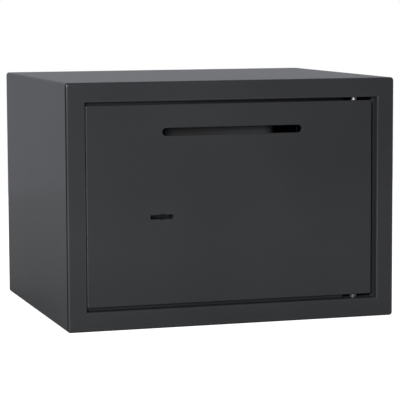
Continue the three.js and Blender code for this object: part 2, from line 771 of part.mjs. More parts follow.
// Lock bolt: a plate with a window for the drum, a stump for the levers and a tab on the bar
function lockBolt() {
  const half = lockBoltHeight / 2;
  const halfTab = tabHeight / 2;
  const rightEnd = keyX + boltThrow + lockBoltTail;
  const outline = rectangle(tabLeft, rightEnd, keyZ - half, keyZ + half, lockBoltCorner);
  const plate = alongY(outline, lockBoltFront, lockBoltBack, smallArc);
  const tabBack = boltY + barWidth / 2 - tabInset;
  const tabOutline = rectangle(lockBoltFront, tabBack, keyZ - halfTab, keyZ + halfTab, tabCorner);
  const tab = alongX(tabOutline, tabLeft, tabRight, smallArc);
  const sw = stumpWidth / 2;
  const sh = stumpHeight / 2;
  const stump = alongY(
    rectangle(stumpX - sw, stumpX + sw, keyZ - sh, keyZ + sh, stumpCorner),
    caseInner + seatGap, lockBoltFront + past, tinyArc,
  );
  const slide = journalRadius + runClear;
  const journalWindow = alongY(
    stadium(keyX - slide, keyX + boltThrow + slide, keyZ, 2 * slide),
    lockBoltFront - past, lockBoltBack + past, journalArc,
  );
  // Half a turn moves the pin by the cosine, and the slot is wider by what that strays from even travel
  const stray = drivePinStray();
  const pinHalf = drivePinDiameter / 2 + stray + runClear;
  const pinTop = drivePinX + drivePinDiameter / 2 + runClear;
  const pinSlot = alongY(
    rectangle(
      keyX + drivePinX - pinHalf, keyX + drivePinX + pinHalf,
      keyZ - drivePinDiameter / 2 - runClear, keyZ + pinTop, drivePinSlotCorner,
    ),
    lockBoltFront - past, lockBoltBack + past, middleArc,
  );
  const screwBore = tabScrewDiameter / 2 + runClear;
  const screwHole = rodX(screwBore, tabLeft - past, tabRight + past, boltY, keyZ, middleRound);
  return cut(join(plate, tab, stump), journalWindow, pinSlot, screwHole);
}

// The most by which a pin on a circle strays from travel in step with its angle
function drivePinStray() {
  const angle = Math.asin(2 / Math.PI);
  return drivePinX * (2 * angle / Math.PI - 1 + Math.cos(angle));
}

function tabScrew() {
  const r = tabScrewDiameter / 2;
  const head = tabScrewHead / 2;
  const length = tabRight - barLeft - 2 * tabScrewInset;
  const screw = turned([
    [0, 0], [head, 0], [r, head - r], [r, length - endChamfer], [r - endChamfer, length], [0, length],
  ], middleRound);
  const driver = solid(new THREE.BoxGeometry(screwDriverSlot, 2 * screwSlotDepth, tabScrewHead + 2 * past));
  return geometryOf(cut(screw, driver)).rotateZ(-Math.PI / 2);
}

place(boltWork, 'bolt_bar', boltBar(), zinc);
place(boltWork, 'lock_bolt', lockBolt(), zinc);
place(boltWork, 'lock_bolt_screw', tabScrew(), steel, barLeft + tabScrewInset, boltY, keyZ);
[['upper', upperBoltZ], ['lower', lowerBoltZ]].forEach(([name, z]) => {
  place(boltWork, `bolt_${name}`, roundBolt(), steel, boltTip, boltY, z);
  place(boltWork, `bolt_nut_${name}`, boltNut(), zinc, barRight + seatGap, boltY, z);
});

// Lock case: a tray that is open at the back, with ears for its studs and posts in its corners
const cornerPosts = [caseLeft + cornerInset, caseRight - cornerInset].flatMap((x) => (
  [caseTop - cornerInset, caseBottom + cornerInset].map((z) => [x, z])
));

function lockCase() {
  const w = caseWall;
  const outline = rectangle(caseLeft, caseRight, caseBottom, caseTop, caseCorner);
  const outside = alongY(outline, doorSeat, caseRim, smallArc);
  const inside = block(caseLeft + w, caseRight - w, caseInner, caseRim + past, caseBottom + w, caseTop - w);
  const posts = cornerPosts.map(([x, z]) => rodY(cornerPost / 2, caseInner - w / 2, caseRim, x, z));
  const ears = earStuds.map(([x, z]) => {
    const up = z > keyZ ? 1 : -1;
    const z0 = z - earHeight / 2 - (up > 0 ? w : 0);
    const ear = rectangle(x - earWidth / 2, x + earWidth / 2, z0, z0 + earHeight + w, earCorner);
    return alongY(ear, doorSeat, doorSeat + w, smallArc);
  });
  const screwHoles = cornerPosts.map(([x, z]) => (
    rodY(coverScrewDiameter / 2 + runClear, caseRim - coverScrewLength, caseRim + past, x, z)
  ));
  const studHoles = earStuds.map(([x, z]) => (
    rodY(studDiameter / 2 + runClear, doorSeat - past, doorSeat + w + past, x, z)
  ));
  const half = lockBoltHeight / 2 + runClear;
  const boltSlot = block(
    caseLeft - past, caseLeft + w + past, lockBoltFront - runClear, caseRim + past,
    keyZ - half, keyZ + half,
  );
  const discHole = rodY(faceDiscRadius + runClear, doorSeat - past, caseInner + past, keyX, keyZ, round);
  const postBore = leverPostDiameter / 2 + runClear;
  const postHole = rodY(postBore, doorSeat - past, caseInner + past, postX, keyZ, middleRound);
  const tray = join(cut(outside, inside), ...posts, ...ears);
  return cut(tray, ...screwHoles, ...studHoles, boltSlot, discHole, postHole);
}

function lockCover() {
  const outline = rectangle(caseLeft, caseRight, caseBottom, caseTop, caseCorner);
  const plate = alongY(outline, coverFront, coverBack, smallArc);
  const before = coverFront - past;
  const behind = coverBack + past;
  const journal = rodY(journalRadius + runClear, before, behind, keyX, keyZ, middleRound);
  const holes = cornerPosts.map(([x, z]) => rodY(coverScrewDiameter / 2 + runClear, before, behind, x, z));
  return cut(plate, journal, ...holes);
}

// A slotted screw on the Y axis with its head at the back: the head's seat is at 0
function coverScrew() {
  const r = coverScrewDiameter / 2;
  const head = coverScrewHead / 2;
  const h = coverScrewHeadHeight;
  const c = endChamfer;
  const profile = [
    [0, -coverScrewLength], [r - c, -coverScrewLength], [r, c - coverScrewLength], [r, 0],
    [head, 0], [head, h - c], [head - c, h], [0, h],
  ];
  const driver = new THREE.BoxGeometry(coverScrewHead + 2 * past, 2 * screwSlotDepth, screwDriverSlot);
  const slot = solid(driver.translate(0, h, 0));
  return geometryOf(cut(turned(profile, smallRound), slot));
}

function leverPost() {
  const r = leverPostDiameter / 2;
  const length = caseRim - doorSeat - seatGap;
  const c = endChamfer;
  return geometryOf(turned([[0, 0], [r, 0], [r, length - c], [r - c, length], [0, length]], middleRound));
}

// A lever, drawn about its post: eye, neck, a ring round the drum and a gated end
function leverPlate(belly) {
  const drum = -leverReach;
  const tip = leverTip - postX;
  const thrown = stumpThrownX - postX;
  const drawn = stumpX - postX;
  const drop = THREE.MathUtils.degToRad(leverDrop);
  const lift = THREE.MathUtils.degToRad(leverOverlift);
  const pocketTop = -thrown * Math.sin(drop) + stumpHeight / 2 + pocketClear;
  const pocketBottom = thrown * Math.sin(lift) - stumpHeight / 2 - pocketClear;
  const ring = windowRadius + leverWall;
  const disc = (r, x) => rodY(r, 0, leverSheet, x, 0, middleRound);
  const neck = alongY(rectangle(drum, 0, -leverNeck / 2, leverNeck / 2), 0, leverSheet);
  const end = alongY(
    rectangle(tip, drum, pocketBottom - leverWall, pocketTop + leverWall, leverEndCorner),
    0, leverSheet, smallArc,
  );
  const pocket = (x) => {
    const half = stumpWidth / 2 + pocketClear;
    const outline = rectangle(x - half, x + half, pocketBottom, pocketTop, pocketCorner);
    return alongY(outline, -past, leverSheet + past, tinyArc);
  };
  const gateHalf = stumpHeight / 2 + gateClear;
  const gate = alongY(rectangle(thrown, drawn, -gateHalf, gateHalf), -past, leverSheet + past);
  // The window's shoulders let a key in while the lever is down, and the key lifts its belly
  const shoulder = keyholeHeight / 2 + (leverReach + windowRadius) * Math.sin(drop) + seatGap;
  const wide = Math.asin(shoulder / windowRadius);
  const narrow = Math.asin(shoulder / belly);
  const window = new THREE.Shape();
  window.moveTo(drum - windowRadius * Math.cos(wide), shoulder);
  window.absarc(drum, 0, windowRadius, Math.PI - wide, Math.PI * 2 + wide, false);
  window.lineTo(drum + belly * Math.cos(narrow), shoulder);
  window.absarc(drum, 0, belly, narrow, Math.PI - narrow, false);
  window.closePath();
  return geometryOf(cut(
    join(disc(leverEye, 0), disc(ring, drum), neck, end),
    rodY(leverPostDiameter / 2 + runClear, -past, leverSheet + past, 0, 0, middleRound),
    alongY(window, -past, leverSheet + past, windowArc), pocket(thrown), pocket(drawn), gate,
  ));
}

// A leaf spring that stands in the lever's neck and bows up to the top of the case
function leverSpring() {
  const t = springThickness;
  const foot = leverNeck / 2 + seatGap;
  const top = caseAbove - caseWall - springClear;
  const tip = -springFoot - springLength;
  const bow = -springFoot - springBow;
  const shape = new THREE.Shape();
  shape.moveTo(-springFoot, foot);
  shape.quadraticCurveTo(bow + t / 2, top, tip, top);
  shape.lineTo(tip, top - t);
  shape.quadraticCurveTo(bow - t / 2, top - t, -springFoot - t, foot);
  shape.closePath();
  const inset = (leverSheet - springWidth) / 2;
  return geometryOf(alongY(shape, inset, inset + springWidth, windowArc));
}

// Key drum: a face disc in the case, a split barrel through the levers, and behind them
// a drive disc with its pin and the journal that turns in the cover
function keyDrum() {
  const faceFront = caseInner - faceDiscThickness;
  const face = rodY(faceDiscRadius, faceFront, caseInner, keyX, keyZ, round);
  const barrel = rodY(barrelRadius, faceFront + overlap, driveDiscFront + overlap, keyX, keyZ, round);
  const drive = rodY(driveDiscRadius, driveDiscFront, driveDiscBack, keyX, keyZ, round);
  const pinBack = lockBoltBack + seatGap / 2;
  const pinFront = driveDiscFront + overlap;
  const pin = rodY(drivePinDiameter / 2, pinFront, pinBack, keyX + drivePinX, keyZ, middleRound);
  const journal = rodY(journalRadius, pinFront, coverBack - seatGap, keyX, keyZ, round);
  return join(cut(join(face, barrel), keyway(doorBack, driveDiscFront)), drive, pin, journal);
}

place(door, 'lock_case', lockCase(), zinc);
place(door, 'lock_cover', lockCover(), zinc);
place(door, 'lever_post', leverPost(), steel, postX, doorSeat, keyZ);
earStuds.forEach(([x, z], i) => {
  place(door, `lock_nut_${i + 1}`, nut, zinc, x, doorSeat + caseWall + seatGap, z);
});
const screw = coverScrew();
cornerPosts.forEach(([x, z], i) => {
  place(door, `lock_cover_screw_${i + 1}`, screw, steel, x, coverBack + seatGap, z);
});
place(lock, 'key_drum', keyDrum(), darkSteel);
bellyRadii.forEach((belly, i) => {
  const y = caseInner + leverSpace + i * leverStep;
  place(lock, `lever_${i + 1}`, leverPlate(belly), brass, postX, y, keyZ);
  place(lock, `lever_spring_${i + 1}`, leverSpring(), steel, postX, y, keyZ);
});

export default safe;
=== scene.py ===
"""Deposit safe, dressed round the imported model: powder-coated sheet steel, zinc-plated
fittings, turned bolts and pivots, a brass lock and a felt mat, lit on a white sweep.

Pieces are modelled in millimetres in the frame's axes and scaled to metres at the end."""

import json
import math

import bmesh
import bpy
from mathutils import Matrix, Vector


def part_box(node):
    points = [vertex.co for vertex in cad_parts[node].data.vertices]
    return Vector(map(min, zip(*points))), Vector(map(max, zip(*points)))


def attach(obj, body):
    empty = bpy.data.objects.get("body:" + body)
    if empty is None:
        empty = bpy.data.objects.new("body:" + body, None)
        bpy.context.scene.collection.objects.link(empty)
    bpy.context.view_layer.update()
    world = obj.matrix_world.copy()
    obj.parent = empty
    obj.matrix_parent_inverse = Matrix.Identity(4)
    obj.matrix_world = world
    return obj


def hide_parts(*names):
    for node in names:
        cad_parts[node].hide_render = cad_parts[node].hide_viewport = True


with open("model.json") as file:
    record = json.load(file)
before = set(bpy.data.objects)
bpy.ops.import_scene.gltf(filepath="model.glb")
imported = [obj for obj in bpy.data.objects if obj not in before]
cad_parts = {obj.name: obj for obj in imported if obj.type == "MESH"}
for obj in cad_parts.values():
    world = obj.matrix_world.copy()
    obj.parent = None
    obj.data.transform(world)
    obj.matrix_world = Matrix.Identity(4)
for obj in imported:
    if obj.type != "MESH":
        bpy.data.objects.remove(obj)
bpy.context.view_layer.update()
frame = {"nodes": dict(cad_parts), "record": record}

MM = 0.001


def box_mm(node):
    low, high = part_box(node)
    return low / MM, high / MM


def middle_mm(node):
    low, high = box_mm(node)
    return (low + high) / 2


# Sizes that the frame's boxes don't hold, in millimetres. First the cabinet
SHEET = 2.0
FRONT_FOLD, LONG_FOLD, OPENING_FOLD = 2.5, 3.2, 1.5
FRAME_LEFT, FRAME_RIGHT, FRAME_TOP, FRAME_BOTTOM = 20.0, 18.7, 20.0, 20.0
INSIDE_FRAME = 10.0
COLLAR_WIDTH = 4.0
RETURN_DEPTH = 18.0
ANCHOR_HOLE, MAT_HOLE = 12.0, 24.0
ANCHOR_X = 105.0
FLOOR_ANCHOR_Y, WALL_ANCHOR_Z = 10.0, 125.0
STRIP_CORNER, MAT_CORNER = 1.0, 3.0

# Door
DOOR_THICKNESS = 4.0
DOOR_CORNER, DOOR_EDGE = 1.0, 0.9
SLOT_LENGTH, SLOT_HEIGHT = 149.0, 8.0
SLOT_SHIFT, SLOT_DROP = 1.0, 27.8
KEYHOLE_LENGTH, KEYHOLE_HEIGHT, KEYHOLE_CENTRE = 24.4, 4.4, 6.4
KEYHOLE_CORNER = 0.6
STUD, STUD_ROOT = 4.0, 1.0
SEAT_GAP = 0.3

# Baffle behind the slot, with its toothed lower edge and the turned end of its hanging wall
BAFFLE_SHEET, BAFFLE_ROOF, BAFFLE_FOLD = 1.5, 3.0, 2.5
TOOTH_PITCH, TOOTH_DEPTH = 9.0, 4.0
BAFFLE_END_FOLD, BAFFLE_END_FLAT, BAFFLE_END_STEPS = 16.0, 9.0, 8

# Hinges
PIN_RADIUS, PIN_BORE = 3.0, 6.6
PIN_HEAD_RADIUS, PIN_HEAD, PIN_CHAMFER = 5.0, 2.0, 0.4
PIN_TIP, PIN_TAPER = 1.0, 0.8
LUG_FOLD, PLATE_CORNER = 4.0, 1.5

# Cap nuts
NUT_FLATS, NUT_HEIGHT, NUT_CROWN = 7.0, 3.2, 0.9
NUT_FOOT_CHAMFER, NUT_TOP_CHAMFER = 0.3, 0.5
NUT_DOME_RADIUS, NUT_DOME, NUT_DOME_RINGS = 3.36, 2.0, 9
THREAD_BORE = 4.6
PAST_CORNER = 0.02

# Bolts, with the bar that joins them, the rail that guides them and the cover over both
BOLT_RADIUS, BOLT_CHAMFER = 9.0, 1.5
SPIGOT_RADIUS, SPIGOT_BORE, SPIGOT_CHAMFER = 4.0, 8.6, 0.5
BOLT_NUT_FLATS, BOLT_NUT_CHAMFER = 13.0, 0.8
BAR_CORNER = 3.0
TAB_SCREW_HEAD, TAB_SCREW_BORE = 9.6, 5.6
RAIL_SHEET, RAIL_CORNER = 3.0, 3.0
COVER_SHEET, COVER_FLANGE, COVER_RISE = 1.2, 12.0, 13.0
COVER_FOLD, COVER_CORNER = 2.0, 2.5

# Lock
FACE_DISC_RADIUS, FACE_DISC_SHEET = 14.0, 1.8
BARREL_RADIUS = 5.0
DRIVE_DISC_RADIUS, DRIVE_DISC_SHEET = 12.0, 2.0
DRIVE_PIN_RADIUS, DRIVE_PIN_X, DRIVE_PIN_REACH = 2.5, 8.0, 4.1
JOURNAL_RADIUS, JOURNAL_CHAMFER = 4.0, 0.4
LOCK_EDGES = {
    "lock_case": 0.12, "lock_cover": 0.2, "lever_post": 0.15, "lock_bolt": 0.15, "lock_bolt_screw": 0.1,
    **{f"lock_cover_screw_{index}": 0.08 for index in range(1, 5)},
    **{f"lever_{index}": 0.12 for index in range(1, 6)},
    **{f"lever_spring_{index}": 0.04 for index in range(1, 6)},
}

# How far a cutting shape passes the piece and a joined shape reaches into it, and how near two
# places count as one
PAST, INTO = 2.0, 1.0
SAME_PLACE = 0.01

# Share of a slot's height that its ends are rounded by, and least share of the opening's area
# that tells a face across it
ALMOST_HALF = 0.499
ACROSS_SHARE = 0.9

# Facets of round shapes
STUD_SIDES, SCREW_SIDES, BORE_SIDES, TURNED_SIDES, BOLT_SIDES = 24, 32, 40, 48, 64

# Angles in degrees: an edge is sharp past the first three, and faces are one within the last
SHARP_FOLD, SHARP_NUT, SHARP_LOCK = 35, 28, 30
FLAT_WITHIN = 0.5

# Parts of a unit direction along an axis: an edge or a face follows the axis from the first on,
# a face of a fold stays below the second and has turned to the side above the third, and the
# fourth is the most that an upright one has along Z
STRAIGHT, FLAT_ENOUGH, SIDE_TURN, UPRIGHT_ENOUGH = 0.999, 0.995, 0.7, 0.3

# The coat is rubbed, and the outer fold's turn painted dark as shade, this far back from the front, in
# millimetres
RUBBED_DEPTH = 12.0

# Where painted light and shade change in the frame, in metres: three along an axis, and the painted
# shade on the levers between two distances from the key
RETURN_LIGHT_Y = (-0.1375, -0.1325)
BAFFLE_LIGHT_AND_SHADE_X = (-0.065, 0.045)
STRIP_SHADE_X = (0.12, -0.12)
KEYHOLE_SHADE_WITHIN = (0.0135, 0.018)

SHELL_LOW, SHELL_HIGH = box_mm("cabinet_shell")
DOOR_LOW, DOOR_HIGH = box_mm("door_plate")
DOOR_BACK = DOOR_LOW.y + DOOR_THICKNESS
OPENING_LOW = Vector((SHELL_LOW.x + FRAME_LEFT, SHELL_LOW.y, FRAME_BOTTOM))
OPENING_HIGH = Vector((SHELL_HIGH.x - FRAME_RIGHT, SHELL_LOW.y + RETURN_DEPTH, SHELL_HIGH.z - FRAME_TOP))
SLOT_X = (DOOR_LOW.x + DOOR_HIGH.x) / 2 + SLOT_SHIFT
SLOT_Z = DOOR_HIGH.z - SLOT_DROP
HINGE = middle_mm("hinge_spacer")
LOCK = middle_mm("key_drum")

SLOT_OF = {entry["node"]: entry["material_slot"] for entry in frame["record"]["subparts"]}
BODY_OF = {node: body for body, nodes in frame["record"]["behaviour"]["bodies"].items() for node in nodes}
DOOR_NUTS = [node for node in BODY_OF if "nut" in node and BODY_OF[node] == "door"]

# The photograph's camera, solved from the edges of the cabinet and its door: its place in
# millimetres, its turn as yaw, pitch and roll in degrees, and its lens and film in millimetres
CAMERA_PLACE = (-601.9, -1970.7, 333.5)
CAMERA_TURN = (17.206, -6.098, -0.249)
CAMERA_LENS, CAMERA_FILM = 170.9, 36


def photo_camera():
    yaw, pitch, roll = (math.radians(angle) for angle in CAMERA_TURN)
    forward = Vector((
        math.sin(yaw) * math.cos(pitch), math.cos(yaw) * math.cos(pitch), math.sin(pitch),
    ))
    right = Vector((math.cos(yaw), -math.sin(yaw), 0))
    up = right.cross(forward)
    tilted_right = right * math.cos(roll) + up * math.sin(roll)
    tilted_up = up * math.cos(roll) - right * math.sin(roll)
    data = bpy.data.cameras.new("photo_camera")
    data.lens = CAMERA_LENS
    data.sensor_width = CAMERA_FILM
    camera = bpy.data.objects.new("photo_camera", data)
    axes = Matrix((tilted_right, tilted_up, -forward)).transposed()
    camera.matrix_world = Matrix.Translation(Vector(CAMERA_PLACE) * MM) @ axes.to_4x4()
    bpy.context.scene.collection.objects.link(camera)
    bpy.context.scene.camera = camera


# Shader nodes, with short calls for the ones that this scene needs
class Nodes:
    def __init__(self, tree):
        self.tree = tree

    def node(self, kind, **settings):
        made = self.tree.nodes.new(kind)
        for key, value in settings.items():
            setattr(made, key, value)
        return made

    def link(self, source, target):
        self.tree.links.new(source, target)

    # A value is a number, a colour or the output of another node
    def put(self, value, target):
        if isinstance(value, bpy.types.NodeSocket):
            self.link(value, target)
        elif isinstance(value, tuple):
            target.default_value = (*value, 1)
        else:
            target.default_value = value

    def math(self, operation, *values):
        made = self.node("ShaderNodeMath", operation=operation)
        for value, target in zip(values, made.inputs):
            self.put(value, target)
        return made.outputs[0]

    def mapped(self, value, low=0.0, high=1.0, start=0.3, end=0.7, smooth=False):
        ramp = "SMOOTHSTEP" if smooth else "LINEAR"
        mapping = self.node("ShaderNodeMapRange", interpolation_type=ramp)
        for key, number in (("From Min", start), ("From Max", end), ("To Min", low), ("To Max", high)):
            mapping.inputs[key].default_value = number
        self.link(value, mapping.inputs["Value"])
        return mapping.outputs["Result"]

    def blend(self, factor, first, second):
        mix = self.node("ShaderNodeMix", data_type="RGBA")
        self.put(first, mix.inputs["A"])
        self.put(second, mix.inputs["B"])
        self.link(factor, mix.inputs["Factor"])
        return mix.outputs["Result"]


# A material whose patterns follow the place on the object, in metres
class Finish(Nodes):
    def __init__(self, name):
        self.material = bpy.data.materials.new(name)
        self.material.use_nodes = True
        super().__init__(self.material.node_tree)
        self.shader = self.tree.nodes["Principled BSDF"]
        self.place = self.node("ShaderNodeTexCoord").outputs["Object"]
        self.normal = None

    def constants(self, **values):
        for key, value in values.items():
            self.put(value, self.shader.inputs[key.replace("_", " ")])

    def to(self, socket, value):
        self.link(value, self.shader.inputs[socket])

    def noise(self, per_metre, detail=3.0, roughness=0.5, stretch=(1, 1, 1)):
        mapping = self.node("ShaderNodeMapping")
        mapping.inputs["Scale"].default_value = stretch
        self.link(self.place, mapping.inputs["Vector"])
        texture = self.node("ShaderNodeTexNoise")
        texture.inputs["Scale"].default_value = per_metre
        texture.inputs["Detail"].default_value = detail
        texture.inputs["Roughness"].default_value = roughness
        self.link(mapping.outputs["Vector"], texture.inputs["Vector"])
        return texture.outputs["Fac"]

    def along(self, axis):
        parts = self.node("ShaderNodeSeparateXYZ")
        self.link(self.place, parts.inputs["Vector"])
        return parts.outputs[axis]

    # Distance from a line that runs along Y
    def from_line(self, x, z):
        flat = self.node("ShaderNodeMapping")
        flat.inputs["Scale"].default_value = (1, 0, 1)
        self.link(self.place, flat.inputs["Vector"])
        away = self.node("ShaderNodeVectorMath", operation="DISTANCE")
        away.inputs[1].default_value = (x, 0, z)
        self.link(flat.outputs["Vector"], away.inputs[0])
        return away.outputs["Value"]

    def from_origin(self):
        away = self.node("ShaderNodeVectorMath", operation="LENGTH")
        self.link(self.place, away.inputs[0])
        return away.outputs["Value"]

    # Each relief lies on the one before
    def bump(self, height, distance, strength):
        made = self.node("ShaderNodeBump")
        made.inputs["Distance"].default_value = distance
        made.inputs["Strength"].default_value = strength
        self.link(height, made.inputs["Height"])
        if self.normal is not None:
            self.link(self.normal, made.inputs["Normal"])
        self.normal = made.outputs["Normal"]
        self.to("Normal", self.normal)


# Graphite powder coat: a satin film with fine orange peel. Its tint clouds slowly, or goes
# from dark to light along an axis as painted light and shade on pieces that stand half in the shade.
def graphite_finish(name, dark, light, coat=0.1, axis=None, span=None):
    f = Finish(name)
    grain = f.noise(900, detail=2, roughness=0.6)
    if axis:
        tint = f.mapped(f.along(axis), start=span[0], end=span[1])
    else:
        tint = f.mapped(f.noise(9, detail=2))
    f.to("Base Color", f.blend(tint, dark, light))
    f.to("Roughness", f.mapped(grain, low=0.5, high=0.58))
    f.bump(f.noise(420, detail=2), distance=0.00012, strength=0.35)
    f.bump(grain, distance=0.00003, strength=0.3)
    f.constants(Specular_IOR_Level=0.13, Coat_Weight=coat, Coat_Roughness=0.15)
    return f.material


# Zinc plate: bright, faintly blue, with slow patches from the bath
def zinc_finish():
    f = Finish("bright_zinc_plate")
    patch = f.mapped(f.noise(60))
    f.to("Base Color", f.blend(patch, (0.56, 0.575, 0.59), (0.66, 0.665, 0.655)))
    f.to("Roughness", f.mapped(f.noise(240, detail=4), low=0.26, high=0.4))
    f.bump(f.noise(1400), distance=0.00002, strength=0.3)
    f.constants(Metallic=1.0)
    return f.material


# A wave texture of scale 1 has this length in metres. Lathe rings are this far apart, and
# stains make a steel paler by this share.
WAVE_LENGTH = 0.314
RING_PITCH = 0.00035
STAIN = 1.2


# Turned steel: fine rings round the axis, along X for the bolts and along Z for the pivots
def steel_finish(name, ring_axis, smooth, rough, tone):
    f = Finish(name)
    wave = f.node("ShaderNodeTexWave", wave_type="BANDS", bands_direction=ring_axis)
    wave.inputs["Scale"].default_value = WAVE_LENGTH / RING_PITCH
    wave.inputs["Distortion"].default_value = 0.6
    wave.inputs["Detail"].default_value = 1.0
    f.link(f.place, wave.inputs["Vector"])
    stain = f.noise(140)
    f.to("Base Color", f.blend(f.mapped(stain), (tone,) * 3, (tone * STAIN,) * 3))
    f.to("Roughness", f.mapped(stain, low=smooth, high=rough))
    f.bump(wave.outputs["Fac"], distance=0.00001, strength=0.5)
    f.constants(Metallic=1.0)
    return f.material


# Blackened steel: oiled black oxide with faint brown
def dark_steel_finish(name, dark, light):
    f = Finish(name)
    f.to("Base Color", f.blend(f.mapped(f.noise(160)), dark, light))
    f.to("Roughness", f.mapped(f.noise(600), low=0.3, high=0.45))
    f.bump(f.noise(1500, detail=2), distance=0.00001, strength=0.3)
    f.constants(Metallic=0.8)
    return f.material


# Rolled brass with a rolling grain along X and slight tarnish, painted nearly black near the key as the
# keyhole's shade
def brass_finish():
    f = Finish("rolled_brass")
    metal = f.blend(f.mapped(f.noise(70)), (0.32, 0.2, 0.06), (0.46, 0.29, 0.09))
    grain = f.noise(500, roughness=0.6, stretch=(0.05, 1, 1))
    fully_shaded, unshaded = KEYHOLE_SHADE_WITHIN
    keyhole_shade = f.mapped(f.from_line(LOCK.x * MM, LOCK.z * MM), low=1, high=0, start=fully_shaded, end=unshaded)
    f.to("Base Color", f.blend(keyhole_shade, metal, (0.01, 0.009, 0.008)))
    f.to("Roughness", f.mapped(grain, low=0.24, high=0.42))
    f.bump(grain, distance=0.00002, strength=0.4)
    f.constants(Metallic=1.0)
    return f.material


# Needle felt: short crossed fibres with a soft sheen
def felt_finish():
    f = Finish("needle_felt")
    fibre_along = f.noise(700, detail=4, roughness=0.7, stretch=(1, 0.2, 1))
    fibre_across = f.noise(760, detail=4, roughness=0.7, stretch=(0.2, 1, 1))
    mottle = f.math("MULTIPLY", fibre_along, fibre_across)
    tint = f.mapped(mottle, start=0.15, end=0.4)
    f.to("Base Color", f.blend(tint, (0.016, 0.018, 0.021), (0.055, 0.058, 0.064)))
    f.bump(mottle, distance=0.0006, strength=0.8)
    f.constants(Roughness=0.95, Sheen_Weight=0.35, Sheen_Roughness=0.5, Specular_IOR_Level=0.2)
    return f.material


PLAIN_COAT = {"dark": (0.0235, 0.0244, 0.0266), "light": (0.0275, 0.0284, 0.0306)}
GRAPHITE = graphite_finish("graphite_powder_coat", **PLAIN_COAT)
RUBBED_COAT = graphite_finish("rubbed_powder_coat", **PLAIN_COAT, coat=0.7)
# Painted light: the return's coat goes from dark at the front to pale deep in the gap
RETURN_LIGHT_COAT = graphite_finish(
    "return_painted_light_coat", dark=(0.03, 0.031, 0.033), light=(0.1, 0.102, 0.107), axis="Y", span=RETURN_LIGHT_Y,
)
# Painted light and shade: the baffle is dark at the slot's left end and lighter to the right, as light
# through the slot
BAFFLE_LIGHT_AND_SHADE_COAT = graphite_finish(
    "baffle_painted_light_and_shade_coat", dark=(0.021, 0.0215, 0.0225), light=(0.047, 0.048, 0.0505),
    axis="X", span=BAFFLE_LIGHT_AND_SHADE_X,
)
# Painted light: the door's left edge is pale, as light caught in the gap
EDGE_LIGHT_COAT = graphite_finish(
    "door_edge_painted_light_coat", dark=(0.1, 0.101, 0.105), light=(0.12, 0.121, 0.125), coat=0.0,
)
SHADED_COAT = graphite_finish(
    "shaded_fold_coat", dark=(0.006, 0.006, 0.007), light=(0.008, 0.008, 0.009), coat=0.0,
)
# Painted shade: the stop strips in the gaps are dark, the upper one fading to near black towards the hinge
# as a painted shadow
LOWER_STRIP_SHADE_COAT = graphite_finish(
    "lower_strip_painted_shade_coat", dark=(0.014, 0.0145, 0.0155), light=(0.018, 0.0185, 0.0195),
)
UPPER_STRIP_COAT = graphite_finish(
    "shaded_strip_coat", dark=(0.0015, 0.0015, 0.0017), light=(0.017, 0.0175, 0.0185), coat=0.0,
    axis="X", span=STRIP_SHADE_X,
)
ZINC = zinc_finish()
BOLT_STEEL = steel_finish("turned_bolt_steel", "X", smooth=0.24, rough=0.36, tone=0.5)
PIVOT_STEEL = steel_finish("turned_pivot_steel", "Z", smooth=0.5, rough=0.62, tone=0.38)
DARK_STEEL = dark_steel_finish("blackened_steel", (0.05, 0.048, 0.047), (0.08, 0.076, 0.073))
SPACER_STEEL = dark_steel_finish("worn_blackened_steel", (0.11, 0.108, 0.106), (0.17, 0.167, 0.163))
BRASS = brass_finish()
FELT = felt_finish()
SLOTS = {
    "graphite_paint": GRAPHITE, "zinc_plate": ZINC, "bright_steel": PIVOT_STEEL,
    "dark_steel": DARK_STEEL, "lock_brass": BRASS, "felt": FELT,
}

# A node wears its slot's finish too, for views that show it without its piece
for name, slot in SLOT_OF.items():
    node = frame["nodes"][name]
    node.data.materials.clear()
    node.data.materials.append(SLOTS[slot])


# Shapes in millimetres
def slab(low, high):
    bm = bmesh.new()
    bmesh.ops.create_cube(bm, size=1)
    low, high = Vector(low), Vector(high)
    bmesh.ops.scale(bm, vec=high - low, verts=bm.verts)
    bmesh.ops.translate(bm, vec=(low + high) / 2, verts=bm.verts)
    return bm


def rod(radius, start, end, sides):
    bm = bmesh.new()
    start, end = Vector(start), Vector(end)
    bmesh.ops.create_cone(
        bm, cap_ends=True, segments=sides, radius1=radius, radius2=radius, depth=(end - start).length,
    )
    turn = (end - start).to_track_quat("Z", "Y").to_matrix()
    bmesh.ops.rotate(bm, verts=bm.verts, matrix=turn)
    bmesh.ops.translate(bm, vec=(start + end) / 2, verts=bm.verts)
    return bm


# A profile of (radius, height) points spun round Z
def turned(profile, sides=TURNED_SIDES):
    bm = bmesh.new()
    chain = [bm.verts.new((radius, 0, height)) for radius, height in profile]
    edges = [bm.edges.new(pair) for pair in zip(chain, chain[1:])]
    bmesh.ops.spin(
        bm, geom=chain + edges, cent=(0, 0, 0), axis=(0, 0, 1), angle=math.tau, steps=sides, use_merge=True,
    )
    bmesh.ops.remove_doubles(bm, verts=bm.verts, dist=SAME_PLACE)
    bmesh.ops.recalc_face_normals(bm, faces=bm.faces)
    return bm


# A turned shape is drawn up Z and turned to stand along Y or X
TO_Y = Matrix.Rotation(-math.pi / 2, 3, "X")
TO_X = Matrix.Rotation(math.pi / 2, 3, "Y")
UPSIDE_DOWN = Matrix.Rotation(math.pi, 3, "X")
ON_ITS_CORNER = Matrix.Rotation(math.pi / 2, 3, "Z")


def hexagon(flats, height):
    bm = bmesh.new()
    radius = flats / math.sqrt(3)
    bmesh.ops.create_cone(bm, cap_ends=True, segments=6, radius1=radius, radius2=radius, depth=height)
    return moved(bm, (0, 0, height / 2))


def moved(bm, place, turn=None):
    if turn is not None:
        bmesh.ops.rotate(bm, verts=bm.verts, matrix=turn)
    bmesh.ops.translate(bm, vec=place, verts=bm.verts)
    return bm


